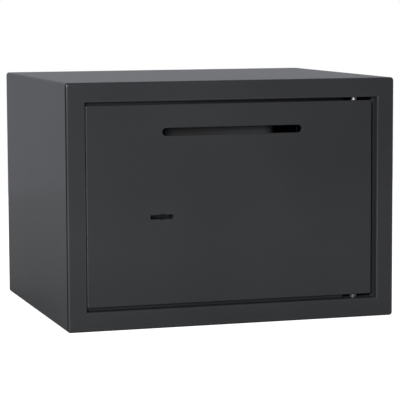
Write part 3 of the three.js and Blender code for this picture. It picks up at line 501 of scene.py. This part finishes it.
def merged(*shapes):
    whole = bmesh.new()
    for bm in shapes:
        mesh = bpy.data.meshes.new("shape")
        bm.to_mesh(mesh)
        bm.free()
        whole.from_mesh(mesh)
        bpy.data.meshes.remove(mesh)
    return whole


# Finding edges and faces by where they lie
AXES = {"x": 0, "y": 1, "z": 2}
FORWARD, BACKWARD, LEFTWARD = (0, -1, 0), (0, 1, 0), (-1, 0, 0)


def near(value, place):
    return abs(value - place) < SAME_PLACE


def edges_along(bm, axis, where=lambda middle: True):
    index = AXES[axis]
    found = []
    for edge in bm.edges:
        run = (edge.verts[1].co - edge.verts[0].co).normalized()
        if abs(run[index]) > STRAIGHT and where((edge.verts[0].co + edge.verts[1].co) / 2):
            found.append(edge)
    return found


def edges_at(bm, axis, value, where=lambda middle: True):
    index = AXES[axis]
    return [
        edge for edge in bm.edges
        if all(near(vert.co[index], value) for vert in edge.verts)
        and where((edge.verts[0].co + edge.verts[1].co) / 2)
    ]


def faces_facing(bm, direction):
    bm.normal_update()
    return [face for face in bm.faces if face.normal.dot(Vector(direction)) > STRAIGHT]


def rounded(bm, edges, radius, segments):
    bmesh.ops.bevel(
        bm, geom=edges, offset=radius, offset_type="OFFSET", segments=segments, profile=0.5,
        affect="EDGES", material=-1, clamp_overlap=False,
    )
    return bm


# Turn an open sheet's faces so that the ones across the direction look along it
def outward(bm, direction):
    bmesh.ops.recalc_face_normals(bm, faces=bm.faces)
    bm.normal_update()
    if sum(face.normal.dot(Vector(direction)) * face.calc_area() for face in bm.faces) < 0:
        bmesh.ops.reverse_faces(bm, faces=bm.faces)


# Give a sheet its thickness behind the face that is drawn
def thicken(bm, thickness):
    bmesh.ops.solidify(bm, geom=bm.faces, thickness=thickness)
    bmesh.ops.recalc_face_normals(bm, faces=bm.faces)


# Slope a box's top up towards the door
def slope_top(bm, front, top, raised):
    for vert in bm.verts:
        if near(vert.co.y, front) and near(vert.co.z, top):
            vert.co.z = raised


def bare_object(bm, name):
    bmesh.ops.scale(bm, vec=(MM, MM, MM), verts=bm.verts)
    mesh = bpy.data.meshes.new(name)
    bm.to_mesh(mesh)
    bm.free()
    made = bpy.data.objects.new(name, mesh)
    bpy.context.scene.collection.objects.link(made)
    return made


def combine(made, shapes, operation):
    tools = [bare_object(bm, "cutting_tool") for bm in shapes]
    for tool in tools:
        step = made.modifiers.new("combine", "BOOLEAN")
        step.operation = operation
        step.solver = "EXACT"
        step.object = tool
    seen = made.evaluated_get(bpy.context.evaluated_depsgraph_get())
    mesh = bpy.data.meshes.new_from_object(seen)
    made.modifiers.clear()
    old = made.data
    made.data = mesh
    bpy.data.meshes.remove(old)
    for tool in tools:
        mesh = tool.data
        bpy.data.objects.remove(tool)
        bpy.data.meshes.remove(mesh)


# Keep a shape made of several, in millimetres
def blended(bm, adds=(), cuts=(), within=()):
    made = bare_object(bm, "blended_shape")
    for shapes, operation in ((within, "INTERSECT"), (adds, "UNION"), (cuts, "DIFFERENCE")):
        if shapes:
            combine(made, shapes, operation)
    whole = bmesh.new()
    whole.from_mesh(made.data)
    bmesh.ops.remove_doubles(whole, verts=whole.verts, dist=SAME_PLACE * MM)
    bmesh.ops.dissolve_degenerate(whole, edges=whole.edges, dist=SAME_PLACE * MM)
    bmesh.ops.scale(whole, vec=(1 / MM, 1 / MM, 1 / MM), verts=whole.verts)
    mesh = made.data
    bpy.data.objects.remove(made)
    bpy.data.meshes.remove(mesh)
    return whole


# A finished piece takes the place of one CAD node, on its body and with its finish
def stand_for(node, bm, edge=0.0, cuts=(), adds=(), material=None, sharp=SHARP_FOLD):
    made = bare_object(bm, node + "_formed")
    if adds:
        combine(made, adds, "UNION")
    if cuts:
        combine(made, cuts, "DIFFERENCE")
    made.data.name = made.name
    made.data.materials.clear()
    made.data.materials.append(material or SLOTS[SLOT_OF[node]])
    made.data.shade_smooth()
    made.data.set_sharp_from_angle(angle=math.radians(sharp))
    if edge:
        bevel = made.modifiers.new("edges", "BEVEL")
        bevel.width = edge * MM
        bevel.segments = 3
        bevel.limit_method = "ANGLE"
        bevel.angle_limit = math.radians(sharp)
        bevel.use_clamp_overlap = False
    made.modifiers.new("even_shading", "WEIGHTED_NORMAL").keep_sharp = True
    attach(made, BODY_OF[node])
    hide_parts(node)
    return made


# The coat is rubbed smooth on the upright folds and edges at the front, and painted dark as
# shade where the outer fold turns into the sides
def rub_folds(made):
    rubbed = len(made.data.materials)
    fold_shade = rubbed + 1
    made.data.materials.append(RUBBED_COAT)
    made.data.materials.append(SHADED_COAT)
    for face in made.data.polygons:
        turned_away = max(abs(face.normal.x), abs(face.normal.y)) < FLAT_ENOUGH
        upright = abs(face.normal.z) < UPRIGHT_ENOUGH
        middle = face.center / MM
        if turned_away and upright and middle.y < SHELL_LOW.y + RUBBED_DEPTH:
            outer = abs(middle.x) > SHELL_HIGH.x - FRONT_FOLD
            face.material_index = fold_shade if outer and abs(face.normal.x) > SIDE_TURN else rubbed


# The two anchor holes in a row, each from one (y, z) place to another
def anchor_holes(width, start, end):
    return [rod(width / 2, (side, *start), (side, *end), TURNED_SIDES) for side in (-ANCHOR_X, ANCHOR_X)]


def on_opening(middle):
    return (
        near(middle.x, OPENING_LOW.x) or near(middle.x, OPENING_HIGH.x)
        or near(middle.z, OPENING_LOW.z) or near(middle.z, OPENING_HIGH.z)
    )


# The fold round the opening: a flat collar in the front and the return behind it
def opening_collar(inset):
    front = SHELL_LOW.y + inset
    bm = slab(
        (OPENING_LOW.x - COLLAR_WIDTH, front, OPENING_LOW.z - COLLAR_WIDTH),
        (OPENING_HIGH.x + COLLAR_WIDTH, front + SHEET, OPENING_HIGH.z + COLLAR_WIDTH),
    )
    collar = faces_facing(bm, FORWARD)[0]
    bmesh.ops.delete(bm, geom=[face for face in bm.faces if face != collar], context="FACES")
    bmesh.ops.inset_region(
        bm, faces=[collar], thickness=COLLAR_WIDTH - inset, use_boundary=True, use_even_offset=True,
    )
    pushed = bmesh.ops.extrude_face_region(bm, geom=[collar])["geom"]
    for vert in (item for item in pushed if isinstance(item, bmesh.types.BMVert)):
        vert.co.y = OPENING_HIGH.y
    across = (OPENING_HIGH.x - OPENING_LOW.x) * (OPENING_HIGH.z - OPENING_LOW.z)
    caps = [face for face in bm.faces if face.calc_area() > ACROSS_SHARE * across]
    bmesh.ops.delete(bm, geom=caps, context="FACES_ONLY")
    if not inset:
        rounded(bm, edges_at(bm, "y", front, on_opening), OPENING_FOLD, segments=5)
    return bm


# One face of the folded sheet: a tube with rounded edges, and the front frame
def cabinet_skin(inset):
    step = Vector((inset, inset, inset))
    low, high = SHELL_LOW + step, SHELL_HIGH - step
    bm = slab(low, (high.x, SHELL_HIGH.y, high.z))
    bmesh.ops.delete(bm, geom=faces_facing(bm, BACKWARD), context="FACES_ONLY")
    rounded(bm, edges_along(bm, "y"), LONG_FOLD - inset, segments=6)
    rounded(bm, edges_at(bm, "y", low.y), FRONT_FOLD - inset, segments=6)
    bmesh.ops.delete(bm, geom=faces_facing(bm, FORWARD), context="FACES_ONLY")
    bm = merged(bm, opening_collar(inset))
    rims = [edge for edge in edges_at(bm, "y", low.y) if edge.is_boundary]
    bmesh.ops.triangle_fill(bm, edges=rims, use_beauty=True, normal=FORWARD)
    return bm


def cabinet_shell():
    bm = merged(cabinet_skin(0.0), cabinet_skin(SHEET))
    for y in (SHELL_HIGH.y, OPENING_HIGH.y):
        rim = [edge for edge in edges_at(bm, "y", y) if edge.is_boundary]
        bmesh.ops.triangle_fill(bm, edges=rim, use_beauty=True, normal=BACKWARD)
    bmesh.ops.recalc_face_normals(bm, faces=bm.faces)
    holes = anchor_holes(ANCHOR_HOLE, (FLOOR_ANCHOR_Y, -PAST), (FLOOR_ANCHOR_Y, SHEET + PAST))
    reach = SHEET / 2 + PAST
    for z in (OPENING_LOW.z - SHEET / 2, OPENING_HIGH.z + SHEET / 2):
        start, end = (HINGE.x, HINGE.y, z - reach), (HINGE.x, HINGE.y, z + reach)
        holes.append(rod(PIN_BORE / 2, start, end, TURNED_SIDES))
    made = stand_for("cabinet_shell", bm, edge=0.15, cuts=holes)
    paint_light_on_return(made)
    rub_folds(made)


# Painted light on the return round the door: its coat goes paler deeper in the gap, where fill light is
# painted
def paint_light_on_return(made):
    painted_fill = len(made.data.materials)
    made.data.materials.append(RETURN_LIGHT_COAT)
    for face in made.data.polygons:
        middle = face.center / MM
        in_return = SHELL_LOW.y + OPENING_FOLD < middle.y < OPENING_HIGH.y + SAME_PLACE
        beside = abs(middle.x) < SHELL_HIGH.x - INSIDE_FRAME
        between = INSIDE_FRAME < middle.z < SHELL_HIGH.z - INSIDE_FRAME
        if in_return and beside and between:
            face.material_index = painted_fill


def back_panel():
    low, high = box_mm("back_panel")
    bm = slab(low, high)
    rounded(bm, edges_along(bm, "y"), LONG_FOLD - SHEET, segments=6)
    holes = anchor_holes(ANCHOR_HOLE, (low.y - PAST, WALL_ANCHOR_Z), (high.y + PAST, WALL_ANCHOR_Z))
    stand_for("back_panel", bm, edge=0.25, cuts=holes)


# Both strips carry painted shade, the upper one a painted shadow towards the hinge
def stop_strips():
    for node, coat in (("stop_strip_top", UPPER_STRIP_COAT), ("stop_strip_bottom", LOWER_STRIP_SHADE_COAT)):
        bm = slab(*box_mm(node))
        rounded(bm, edges_along(bm, "y"), STRIP_CORNER, segments=4)
        stand_for(node, bm, edge=0.3, material=coat)


def floor_mat():
    low, high = box_mm("floor_mat")
    bm = slab(low, high)
    rounded(bm, edges_along(bm, "z"), MAT_CORNER, segments=6)
    holes = anchor_holes(MAT_HOLE, (FLOOR_ANCHOR_Y, low.z - PAST), (FLOOR_ANCHOR_Y, high.z + PAST))
    stand_for("floor_mat", bm, edge=0.7, cuts=holes)


# Door plate with its deposit slot, keyhole and weld studs. Its left edge is painted pale, as light caught
# in the gap.
def door_plate():
    front = DOOR_LOW.y
    bm = slab(DOOR_LOW, (DOOR_HIGH.x, DOOR_BACK, DOOR_HIGH.z))
    rounded(bm, edges_along(bm, "y"), DOOR_CORNER, segments=4)
    rounded(bm, edges_at(bm, "y", front), DOOR_EDGE, segments=6)
    cuts = [deposit_slot(front - PAST, DOOR_BACK + PAST), *key_shape(front - PAST, DOOR_BACK + PAST)]
    made = stand_for("door_plate", bm, edge=0.45, cuts=cuts, adds=door_studs())
    rub_folds(made)
    lit_edge = len(made.data.materials)
    made.data.materials.append(EDGE_LIGHT_COAT)
    for face in made.data.polygons:
        if face.center.x / MM < DOOR_LOW.x + DOOR_EDGE and face.normal.x < -SIDE_TURN:
            face.material_index = lit_edge


# The slot's ends are round, but a full half of its height would leave sides of no height there
def deposit_slot(start, end):
    half_length, half_height = SLOT_LENGTH / 2, SLOT_HEIGHT / 2
    slot = slab(
        (SLOT_X - half_length, start, SLOT_Z - half_height),
        (SLOT_X + half_length, end, SLOT_Z + half_height),
    )
    return rounded(slot, edges_along(slot, "y"), SLOT_HEIGHT * ALMOST_HALF, segments=12)


# The keyhole's two wings and its round centre, from one depth to another
def key_shape(start, end):
    wings = slab(
        (LOCK.x - KEYHOLE_LENGTH / 2, start, LOCK.z - KEYHOLE_HEIGHT / 2),
        (LOCK.x + KEYHOLE_LENGTH / 2, end, LOCK.z + KEYHOLE_HEIGHT / 2),
    )
    rounded(wings, edges_along(wings, "y"), KEYHOLE_CORNER, segments=4)
    centre = rod(KEYHOLE_CENTRE / 2, (LOCK.x, start, LOCK.z), (LOCK.x, end, LOCK.z), BORE_SIDES)
    return [wings, centre]


# A stud stands under each nut of the door, up to the nut's dome
def door_studs():
    studs = []
    for node in DOOR_NUTS:
        middle, foot = middle_mm(node), box_mm(node)[0].y
        root, tip = DOOR_BACK - STUD_ROOT, foot + NUT_HEIGHT
        studs.append(rod(STUD / 2, (middle.x, root, middle.z), (middle.x, tip, middle.z), STUD_SIDES))
    return studs


# Baffle: one folded sheet, drawn down its back from the door's flange to the teeth, with the
# right end of its hanging wall turned back
def baffle_plate():
    low, high = box_mm("baffle_plate")
    inner_y = low.y + BAFFLE_SHEET
    roof = SLOT_Z + SLOT_HEIGHT / 2 + BAFFLE_ROOF + BAFFLE_SHEET
    end = high.x - BAFFLE_END_FLAT
    bm = bmesh.new()
    section = ((inner_y, high.z), (inner_y, roof), (high.y, roof), (high.y, low.z))
    chain = [bm.verts.new((low.x, y, z)) for y, z in section]
    edges = [bm.edges.new(pair) for pair in zip(chain, chain[1:])]
    swept = bmesh.ops.extrude_edge_only(bm, edges=edges)["geom"]
    far = [item for item in swept if isinstance(item, bmesh.types.BMVert)]
    bmesh.ops.translate(bm, vec=(end - low.x, 0, 0), verts=far)
    cut_teeth(bm, edges_at(bm, "z", low.z), count=int((high.x - low.x) / TOOTH_PITCH))
    for y, radius, segments in ((inner_y, BAFFLE_FOLD - BAFFLE_SHEET, 5), (high.y, BAFFLE_FOLD, 6)):
        fold = edges_along(bm, "x", lambda middle: near(middle.y, y) and near(middle.z, roof))
        rounded(bm, fold, radius, segments)
    hanging = edges_at(bm, "x", end, lambda middle: near(middle.y, high.y))
    bmesh.ops.spin(
        bm, geom=hanging + list({vert for edge in hanging for vert in edge.verts}),
        cent=(end, high.y + BAFFLE_END_FOLD, 0), axis=(0, 0, 1), angle=math.pi / 2, steps=BAFFLE_END_STEPS,
    )
    outward(bm, BACKWARD)
    thicken(bm, BAFFLE_SHEET)
    # Its coat carries painted light and shade along the slot
    stand_for("baffle_plate", bm, edge=0.2, material=BAFFLE_LIGHT_AND_SHADE_COAT)


# Teeth against fishing, cut up into a sheet's lower edge
def cut_teeth(bm, lower_edge, count):
    split = bmesh.ops.subdivide_edges(bm, edges=lower_edge, cuts=2 * count - 1)["geom_inner"]
    points = [item for item in split if isinstance(item, bmesh.types.BMVert)]
    for vert in sorted(points, key=lambda point: point.co.x)[::2]:
        vert.co.z += TOOTH_DEPTH


# A pin's head is down in the lower hinge and up in the upper one
def hinge_pins():
    for node, up in (("hinge_pin_bottom", True), ("hinge_pin_top", False)):
        low, high = box_mm(node)
        reach = high.z - low.z
        bm = turned([
            (0, 0), (PIN_HEAD_RADIUS - PIN_CHAMFER, 0), (PIN_HEAD_RADIUS, PIN_CHAMFER),
            (PIN_HEAD_RADIUS, PIN_HEAD - PIN_CHAMFER), (PIN_HEAD_RADIUS - PIN_CHAMFER, PIN_HEAD),
            (PIN_RADIUS, PIN_HEAD), (PIN_RADIUS, reach - PIN_TIP), (PIN_RADIUS - PIN_TAPER, reach),
            (0, reach),
        ])
        place = (HINGE.x, HINGE.y, low.z if up else high.z)
        stand_for(node, moved(bm, place, None if up else UPSIDE_DOWN), edge=0.12)


def hinge_spacer():
    low, high = box_mm("hinge_spacer")
    outer = (high.x - low.x) / 2
    bore, height = PIN_BORE / 2, high.z - low.z
    bm = turned([(bore, 0), (outer, 0), (outer, height), (bore, height), (bore, 0)])
    place = (HINGE.x, HINGE.y, low.z)
    stand_for("hinge_spacer", moved(bm, place), edge=0.3, material=SPACER_STEEL)


# The pin's hole through a piece that lies between two heights
def pin_bore(low, high):
    start, end = (HINGE.x, HINGE.y, low - PAST), (HINGE.x, HINGE.y, high + PAST)
    return rod(PIN_BORE / 2, start, end, BORE_SIDES)


def hinge_lugs():
    for node in ("hinge_lug_top", "hinge_lug_bottom"):
        low, high = box_mm(node)
        bm = slab(low, high)
        rounded(bm, edges_along(bm, "z", lambda middle: near(middle.y, high.y)), LUG_FOLD, segments=8)
        stand_for(node, bm, edge=0.35, cuts=[pin_bore(low.z, high.z)])


def hinge_plates():
    for node in ("hinge_plate_top", "hinge_plate_bottom"):
        low, high = box_mm(node)
        bm = slab(low, high)
        rounded(bm, edges_along(bm, "z"), PLATE_CORNER, segments=5)
        stand_for(node, bm, edge=0.3, cuts=[pin_bore(low.z, high.z)])


# A turned shape that takes the corners off a hexagon at its foot and its top
def nut_trim(flats, height, foot_chamfer, top_chamfer):
    half, corner = flats / 2, flats / math.sqrt(3) + PAST_CORNER
    return turned([
        (0, 0), (half, 0), (corner, foot_chamfer),
        (corner, height - top_chamfer), (half, height), (0, height),
    ])


# A cap nut: a chamfered hexagon under a polished dome, bored for its stud
def cap_nuts():
    top, neck = NUT_HEIGHT + NUT_DOME, NUT_HEIGHT - INTO
    angles = [math.pi / 2 * ring / NUT_DOME_RINGS for ring in range(NUT_DOME_RINGS)]
    dome = [(NUT_DOME_RADIUS * math.cos(a), NUT_HEIGHT + NUT_DOME * math.sin(a)) for a in angles]
    cap = turned([(0, neck), (NUT_DOME_RADIUS, neck), *dome, (0, top)])
    trim = nut_trim(NUT_FLATS, NUT_HEIGHT, NUT_FOOT_CHAMFER, NUT_TOP_CHAMFER)
    bore = rod(THREAD_BORE / 2, (0, 0, -PAST), (0, 0, top - NUT_CROWN), STUD_SIDES)
    shape = blended(hexagon(NUT_FLATS, NUT_HEIGHT), within=[trim], adds=[cap], cuts=[bore])
    for node in DOOR_NUTS:
        middle, foot = middle_mm(node), box_mm(node)[0].y
        stand_for(node, moved(shape.copy(), (middle.x, foot, middle.z), TO_Y), sharp=SHARP_NUT)
    shape.free()


def round_bolts():
    bar = box_mm("bolt_bar")[0].x
    for node in ("bolt_upper", "bolt_lower"):
        low, high = box_mm(node)
        middle = middle_mm(node)
        body, length = bar - SEAT_GAP - low.x, high.x - low.x
        bm = turned([
            (0, 0), (BOLT_RADIUS - BOLT_CHAMFER, 0), (BOLT_RADIUS, BOLT_CHAMFER), (BOLT_RADIUS, body),
            (SPIGOT_RADIUS, body), (SPIGOT_RADIUS, length - SPIGOT_CHAMFER),
            (SPIGOT_RADIUS - SPIGOT_CHAMFER, length), (0, length),
        ], BOLT_SIDES)
        stand_for(node, moved(bm, (low.x, middle.y, middle.z), TO_X), edge=0.2, material=BOLT_STEEL)


def bolt_nuts():
    for node in ("bolt_nut_upper", "bolt_nut_lower"):
        low, high = box_mm(node)
        middle = middle_mm(node)
        height = high.x - low.x
        trim = nut_trim(BOLT_NUT_FLATS, height, BOLT_NUT_CHAMFER, BOLT_NUT_CHAMFER)
        bore = rod(SPIGOT_BORE / 2, (0, 0, -PAST), (0, 0, height + PAST), BORE_SIDES)
        bm = moved(hexagon(BOLT_NUT_FLATS, height), (0, 0, 0), ON_ITS_CORNER)
        bm = blended(bm, within=[trim], cuts=[bore])
        stand_for(node, moved(bm, (low.x, middle.y, middle.z), TO_X), sharp=SHARP_NUT)


# Holes on the axes of both bolts, from one x to another
def bolt_holes(radius, start, end, sides):
    holes = []
    for bolt in ("bolt_upper", "bolt_lower"):
        middle = middle_mm(bolt)
        holes.append(rod(radius, (start, middle.y, middle.z), (end, middle.y, middle.z), sides))
    return holes


# Upright bar that joins the bolts, sunk in the middle for the lock bolt's screw
def bolt_bar():
    low, high = box_mm("bolt_bar")
    bm = slab(low, high)
    rounded(bm, edges_along(bm, "x"), BAR_CORNER, segments=6)
    start, end = low.x - PAST, high.x + PAST
    holes = bolt_holes(SPIGOT_BORE / 2, start, end, BORE_SIDES)
    y = (low.y + high.y) / 2
    head, shank = TAB_SCREW_HEAD / 2, TAB_SCREW_BORE / 2
    sink = turned([(0, -INTO), (head, -INTO), (head, 0), (shank, head - shank), (0, head - shank)])
    holes.append(moved(sink, (low.x, y, LOCK.z), TO_X))
    holes.append(rod(shank, (start, y, LOCK.z), (end, y, LOCK.z), SCREW_SIDES))
    stand_for("bolt_bar", bm, edge=0.3, cuts=holes)


# Guide rail: a web that the bolts pass through, and a foot on the door
def bolt_guide_rail():
    low, high = box_mm("bolt_guide_rail")
    top = high.z - COVER_RISE
    web = slab(low, (low.x + RAIL_SHEET, high.y, top))
    slope_top(web, low.y, top, high.z)
    foot = slab((low.x, low.y, low.z), (high.x, low.y + RAIL_SHEET, top))
    rounded(foot, edges_along(foot, "y", lambda middle: near(middle.x, high.x)), RAIL_CORNER, segments=5)
    holes = bolt_holes(BOLT_RADIUS + SEAT_GAP, low.x - PAST, low.x + RAIL_SHEET + PAST, BOLT_SIDES)
    stand_for("bolt_guide_rail", web, edge=0.3, adds=[foot], cuts=holes)


# Cover: a folded pan, open to the left, with flanges along its bottom and right. Its sloped top
# is cut level with the flanges' front.
def boltwork_cover():
    low, high = box_mm("boltwork_cover")
    right, bottom, top = high.x - COVER_FLANGE, low.z + COVER_FLANGE, high.z - COVER_RISE
    bm = slab((low.x, low.y, bottom), (right, high.y, top))
    slope_top(bm, low.y, top, high.z)
    opened = faces_facing(bm, FORWARD) + faces_facing(bm, LEFTWARD)
    bmesh.ops.delete(bm, geom=opened, context="FACES")
    rounded(bm, [edge for edge in bm.edges if not edge.is_boundary], COVER_FOLD, segments=6)
    outward(bm, BACKWARD)
    thicken(bm, COVER_SHEET)
    half, seat = COVER_SHEET / 2, low.y + COVER_SHEET
    flanges = [
        slab((low.x + RAIL_SHEET, low.y, low.z), (high.x, seat, bottom + half)),
        slab((right - half, low.y, low.z), (high.x, seat, top)),
    ]
    for flange in flanges:
        corners = edges_along(flange, "y", lambda middle: near(middle.x, high.x))
        rounded(flange, corners, COVER_CORNER, segments=5)
    cuts = []
    for node in (nut for nut in DOOR_NUTS if nut.startswith("cover")):
        middle = middle_mm(node)
        start, end = (middle.x, low.y - PAST, middle.z), (middle.x, seat + PAST, middle.z)
        cuts.append(rod(THREAD_BORE / 2, start, end, STUD_SIDES))
    cuts.append(slab((low.x - PAST, low.y - COVER_RISE, top), (high.x, low.y, high.z + PAST)))
    stand_for("boltwork_cover", bm, edge=0.15, adds=flanges, cuts=cuts)


# Key drum: face disc, split barrel, drive disc with its pin, and journal
def key_drum():
    low, high = box_mm("key_drum")
    drive_front = box_mm("lever_5")[1].y + SEAT_GAP
    drive_back = drive_front + DRIVE_DISC_SHEET
    front, back, depth = drive_front - low.y, drive_back - low.y, high.y - low.y
    body = turned([
        (0, 0), (FACE_DISC_RADIUS, 0), (FACE_DISC_RADIUS, FACE_DISC_SHEET),
        (BARREL_RADIUS, FACE_DISC_SHEET), (BARREL_RADIUS, front),
        (DRIVE_DISC_RADIUS, front), (DRIVE_DISC_RADIUS, back),
        (JOURNAL_RADIUS, back), (JOURNAL_RADIUS, depth - JOURNAL_CHAMFER),
        (JOURNAL_RADIUS - JOURNAL_CHAMFER, depth), (0, depth),
    ], BOLT_SIDES)
    moved(body, (LOCK.x, low.y, LOCK.z), TO_Y)
    x = LOCK.x + DRIVE_PIN_X
    pin_back = drive_back + SEAT_GAP + DRIVE_PIN_REACH
    pin = rod(DRIVE_PIN_RADIUS, (x, drive_front + INTO, LOCK.z), (x, pin_back, LOCK.z), SCREW_SIDES)
    stand_for("key_drum", body, edge=0.2, adds=[pin], cuts=key_shape(low.y - PAST, drive_front))


# The lock's parts keep the CAD shape, with their edges broken as after stamping and tumbling
def lock_parts():
    for node, edge in LOCK_EDGES.items():
        bm = bmesh.new()
        bm.from_mesh(bpy.data.objects[node].data)
        bmesh.ops.scale(bm, vec=(1 / MM, 1 / MM, 1 / MM), verts=bm.verts)
        bmesh.ops.remove_doubles(bm, verts=bm.verts, dist=SAME_PLACE * MM)
        bmesh.ops.dissolve_limit(
            bm, angle_limit=math.radians(FLAT_WITHIN), verts=bm.verts, edges=bm.edges,
            use_dissolve_boundaries=False,
        )
        bmesh.ops.triangulate(bm, faces=bm.faces)
        stand_for(node, bm, edge=edge, sharp=SHARP_LOCK)


photo_camera()
cabinet_shell()
back_panel()
stop_strips()
floor_mat()
door_plate()
baffle_plate()
hinge_pins()
hinge_spacer()
hinge_lugs()
hinge_plates()
cap_nuts()
round_bolts()
bolt_nuts()
bolt_bar()
bolt_guide_rail()
boltwork_cover()
key_drum()
lock_parts()

# The studio, in metres: strengths in front, behind and above, and where each one turns into
# the next on the unit sphere
STUDIO_FRONT, STUDIO_BACK, STUDIO_TOP = 0.1, 0.6, 0.6
BEHIND_SPAN, ABOVE_SPAN, BACKDROP_SPAN = (-0.3, 0.8), (0.3, 0.9), (0.1, 0.6)
DAYLIGHT, WHITE = (0.92, 0.94, 1.0), (1.0, 1.0, 1.0)
KEY_PLACE, KEY_TARGET = (-1.05, -1.95, 0.62), (0, 0, 0.12)
KEY_SIZE, KEY_WATTS = (0.8, 0.8), 48
FLOOR_REACH = 1.2
FLOOR_COLOUR = (0.6, 0.6, 0.6)
GLOW_SEEN, GLOW_MIRRORED = 0.9, 0.35
# Within this distance the floor's reflected glow is a painted shadow, and past it the glow rises along this
# curve
PAINTED_SHADOW_REACH, GLOW_CURVE = 0.22, 0.5


# Rays that a metal or a glass surface sends on
def reflected(nodes, path):
    return nodes.math("MAXIMUM", path.outputs["Is Glossy Ray"], path.outputs["Is Transmission Ray"])


# White floor: it glows to the camera, and in reflections the more the farther it is away, as a
# painted shadow round the safe that shows in its sides
def floor():
    bm = bmesh.new()
    bmesh.ops.create_grid(bm, x_segments=1, y_segments=1, size=FLOOR_REACH / MM)
    plane = bare_object(bm, "floor")
    plane.data.materials.append(sweep_finish())


def sweep_finish():
    f = Finish("white_sweep")
    f.constants(Base_Color=FLOOR_COLOUR, Roughness=0.9)
    path = f.node("ShaderNodeLightPath")
    outside_painted_shadow = f.math("POWER", f.mapped(f.from_origin(), start=PAINTED_SHADOW_REACH, end=FLOOR_REACH), GLOW_CURVE)
    mirrored = f.math("MULTIPLY", reflected(f, path), f.math("MULTIPLY", outside_painted_shadow, GLOW_MIRRORED))
    glow = f.node("ShaderNodeEmission")
    strength = f.math("MULTIPLY_ADD", path.outputs["Is Camera Ray"], GLOW_SEEN, mirrored)
    f.link(strength, glow.inputs["Strength"])
    both = f.node("ShaderNodeAddShader")
    f.link(f.shader.outputs["BSDF"], both.inputs[0])
    f.link(glow.outputs["Emission"], both.inputs[1])
    f.link(both.outputs["Shader"], f.tree.nodes["Material Output"].inputs["Surface"])
    return f.material


# The studio round it: white to the camera, bright behind and above, darker in front
def studio():
    world = bpy.data.worlds.new("studio")
    bpy.context.scene.world = world
    world.use_nodes = True
    nodes = Nodes(world.node_tree)
    background = nodes.tree.nodes["Background"]
    path = nodes.node("ShaderNodeLightPath")
    direction = nodes.node("ShaderNodeSeparateXYZ")
    nodes.link(nodes.node("ShaderNodeTexCoord").outputs["Generated"], direction.inputs["Vector"])
    depth, height = direction.outputs["Y"], direction.outputs["Z"]
    behind = nodes.mapped(depth, STUDIO_FRONT, STUDIO_BACK, *BEHIND_SPAN, smooth=True)
    above = nodes.mapped(height, 0.0, STUDIO_TOP, *ABOVE_SPAN, smooth=True)
    backdrop = nodes.mapped(depth, 0.0, 1.0, *BACKDROP_SPAN, smooth=True)
    mirrored = nodes.math("MULTIPLY", backdrop, reflected(nodes, path))
    white = nodes.math("MAXIMUM", path.outputs["Is Camera Ray"], mirrored)
    lit = nodes.math("MAXIMUM", behind, above)
    nodes.link(nodes.math("MAXIMUM", white, lit), background.inputs["Strength"])
    nodes.link(nodes.blend(path.outputs["Is Camera Ray"], DAYLIGHT, WHITE), background.inputs["Color"])


def key_softbox():
    data = bpy.data.lights.new("key_softbox", "AREA")
    data.shape = "RECTANGLE"
    data.size, data.size_y = KEY_SIZE
    data.energy = KEY_WATTS
    made = bpy.data.objects.new("key_softbox", data)
    made.location = KEY_PLACE
    toward = Vector(KEY_TARGET) - Vector(KEY_PLACE)
    made.rotation_euler = toward.to_track_quat("-Z", "Y").to_euler()
    made.visible_camera = False
    bpy.context.scene.collection.objects.link(made)


floor()
studio()
key_softbox()
bpy.context.scene.view_settings.view_transform = "Standard"
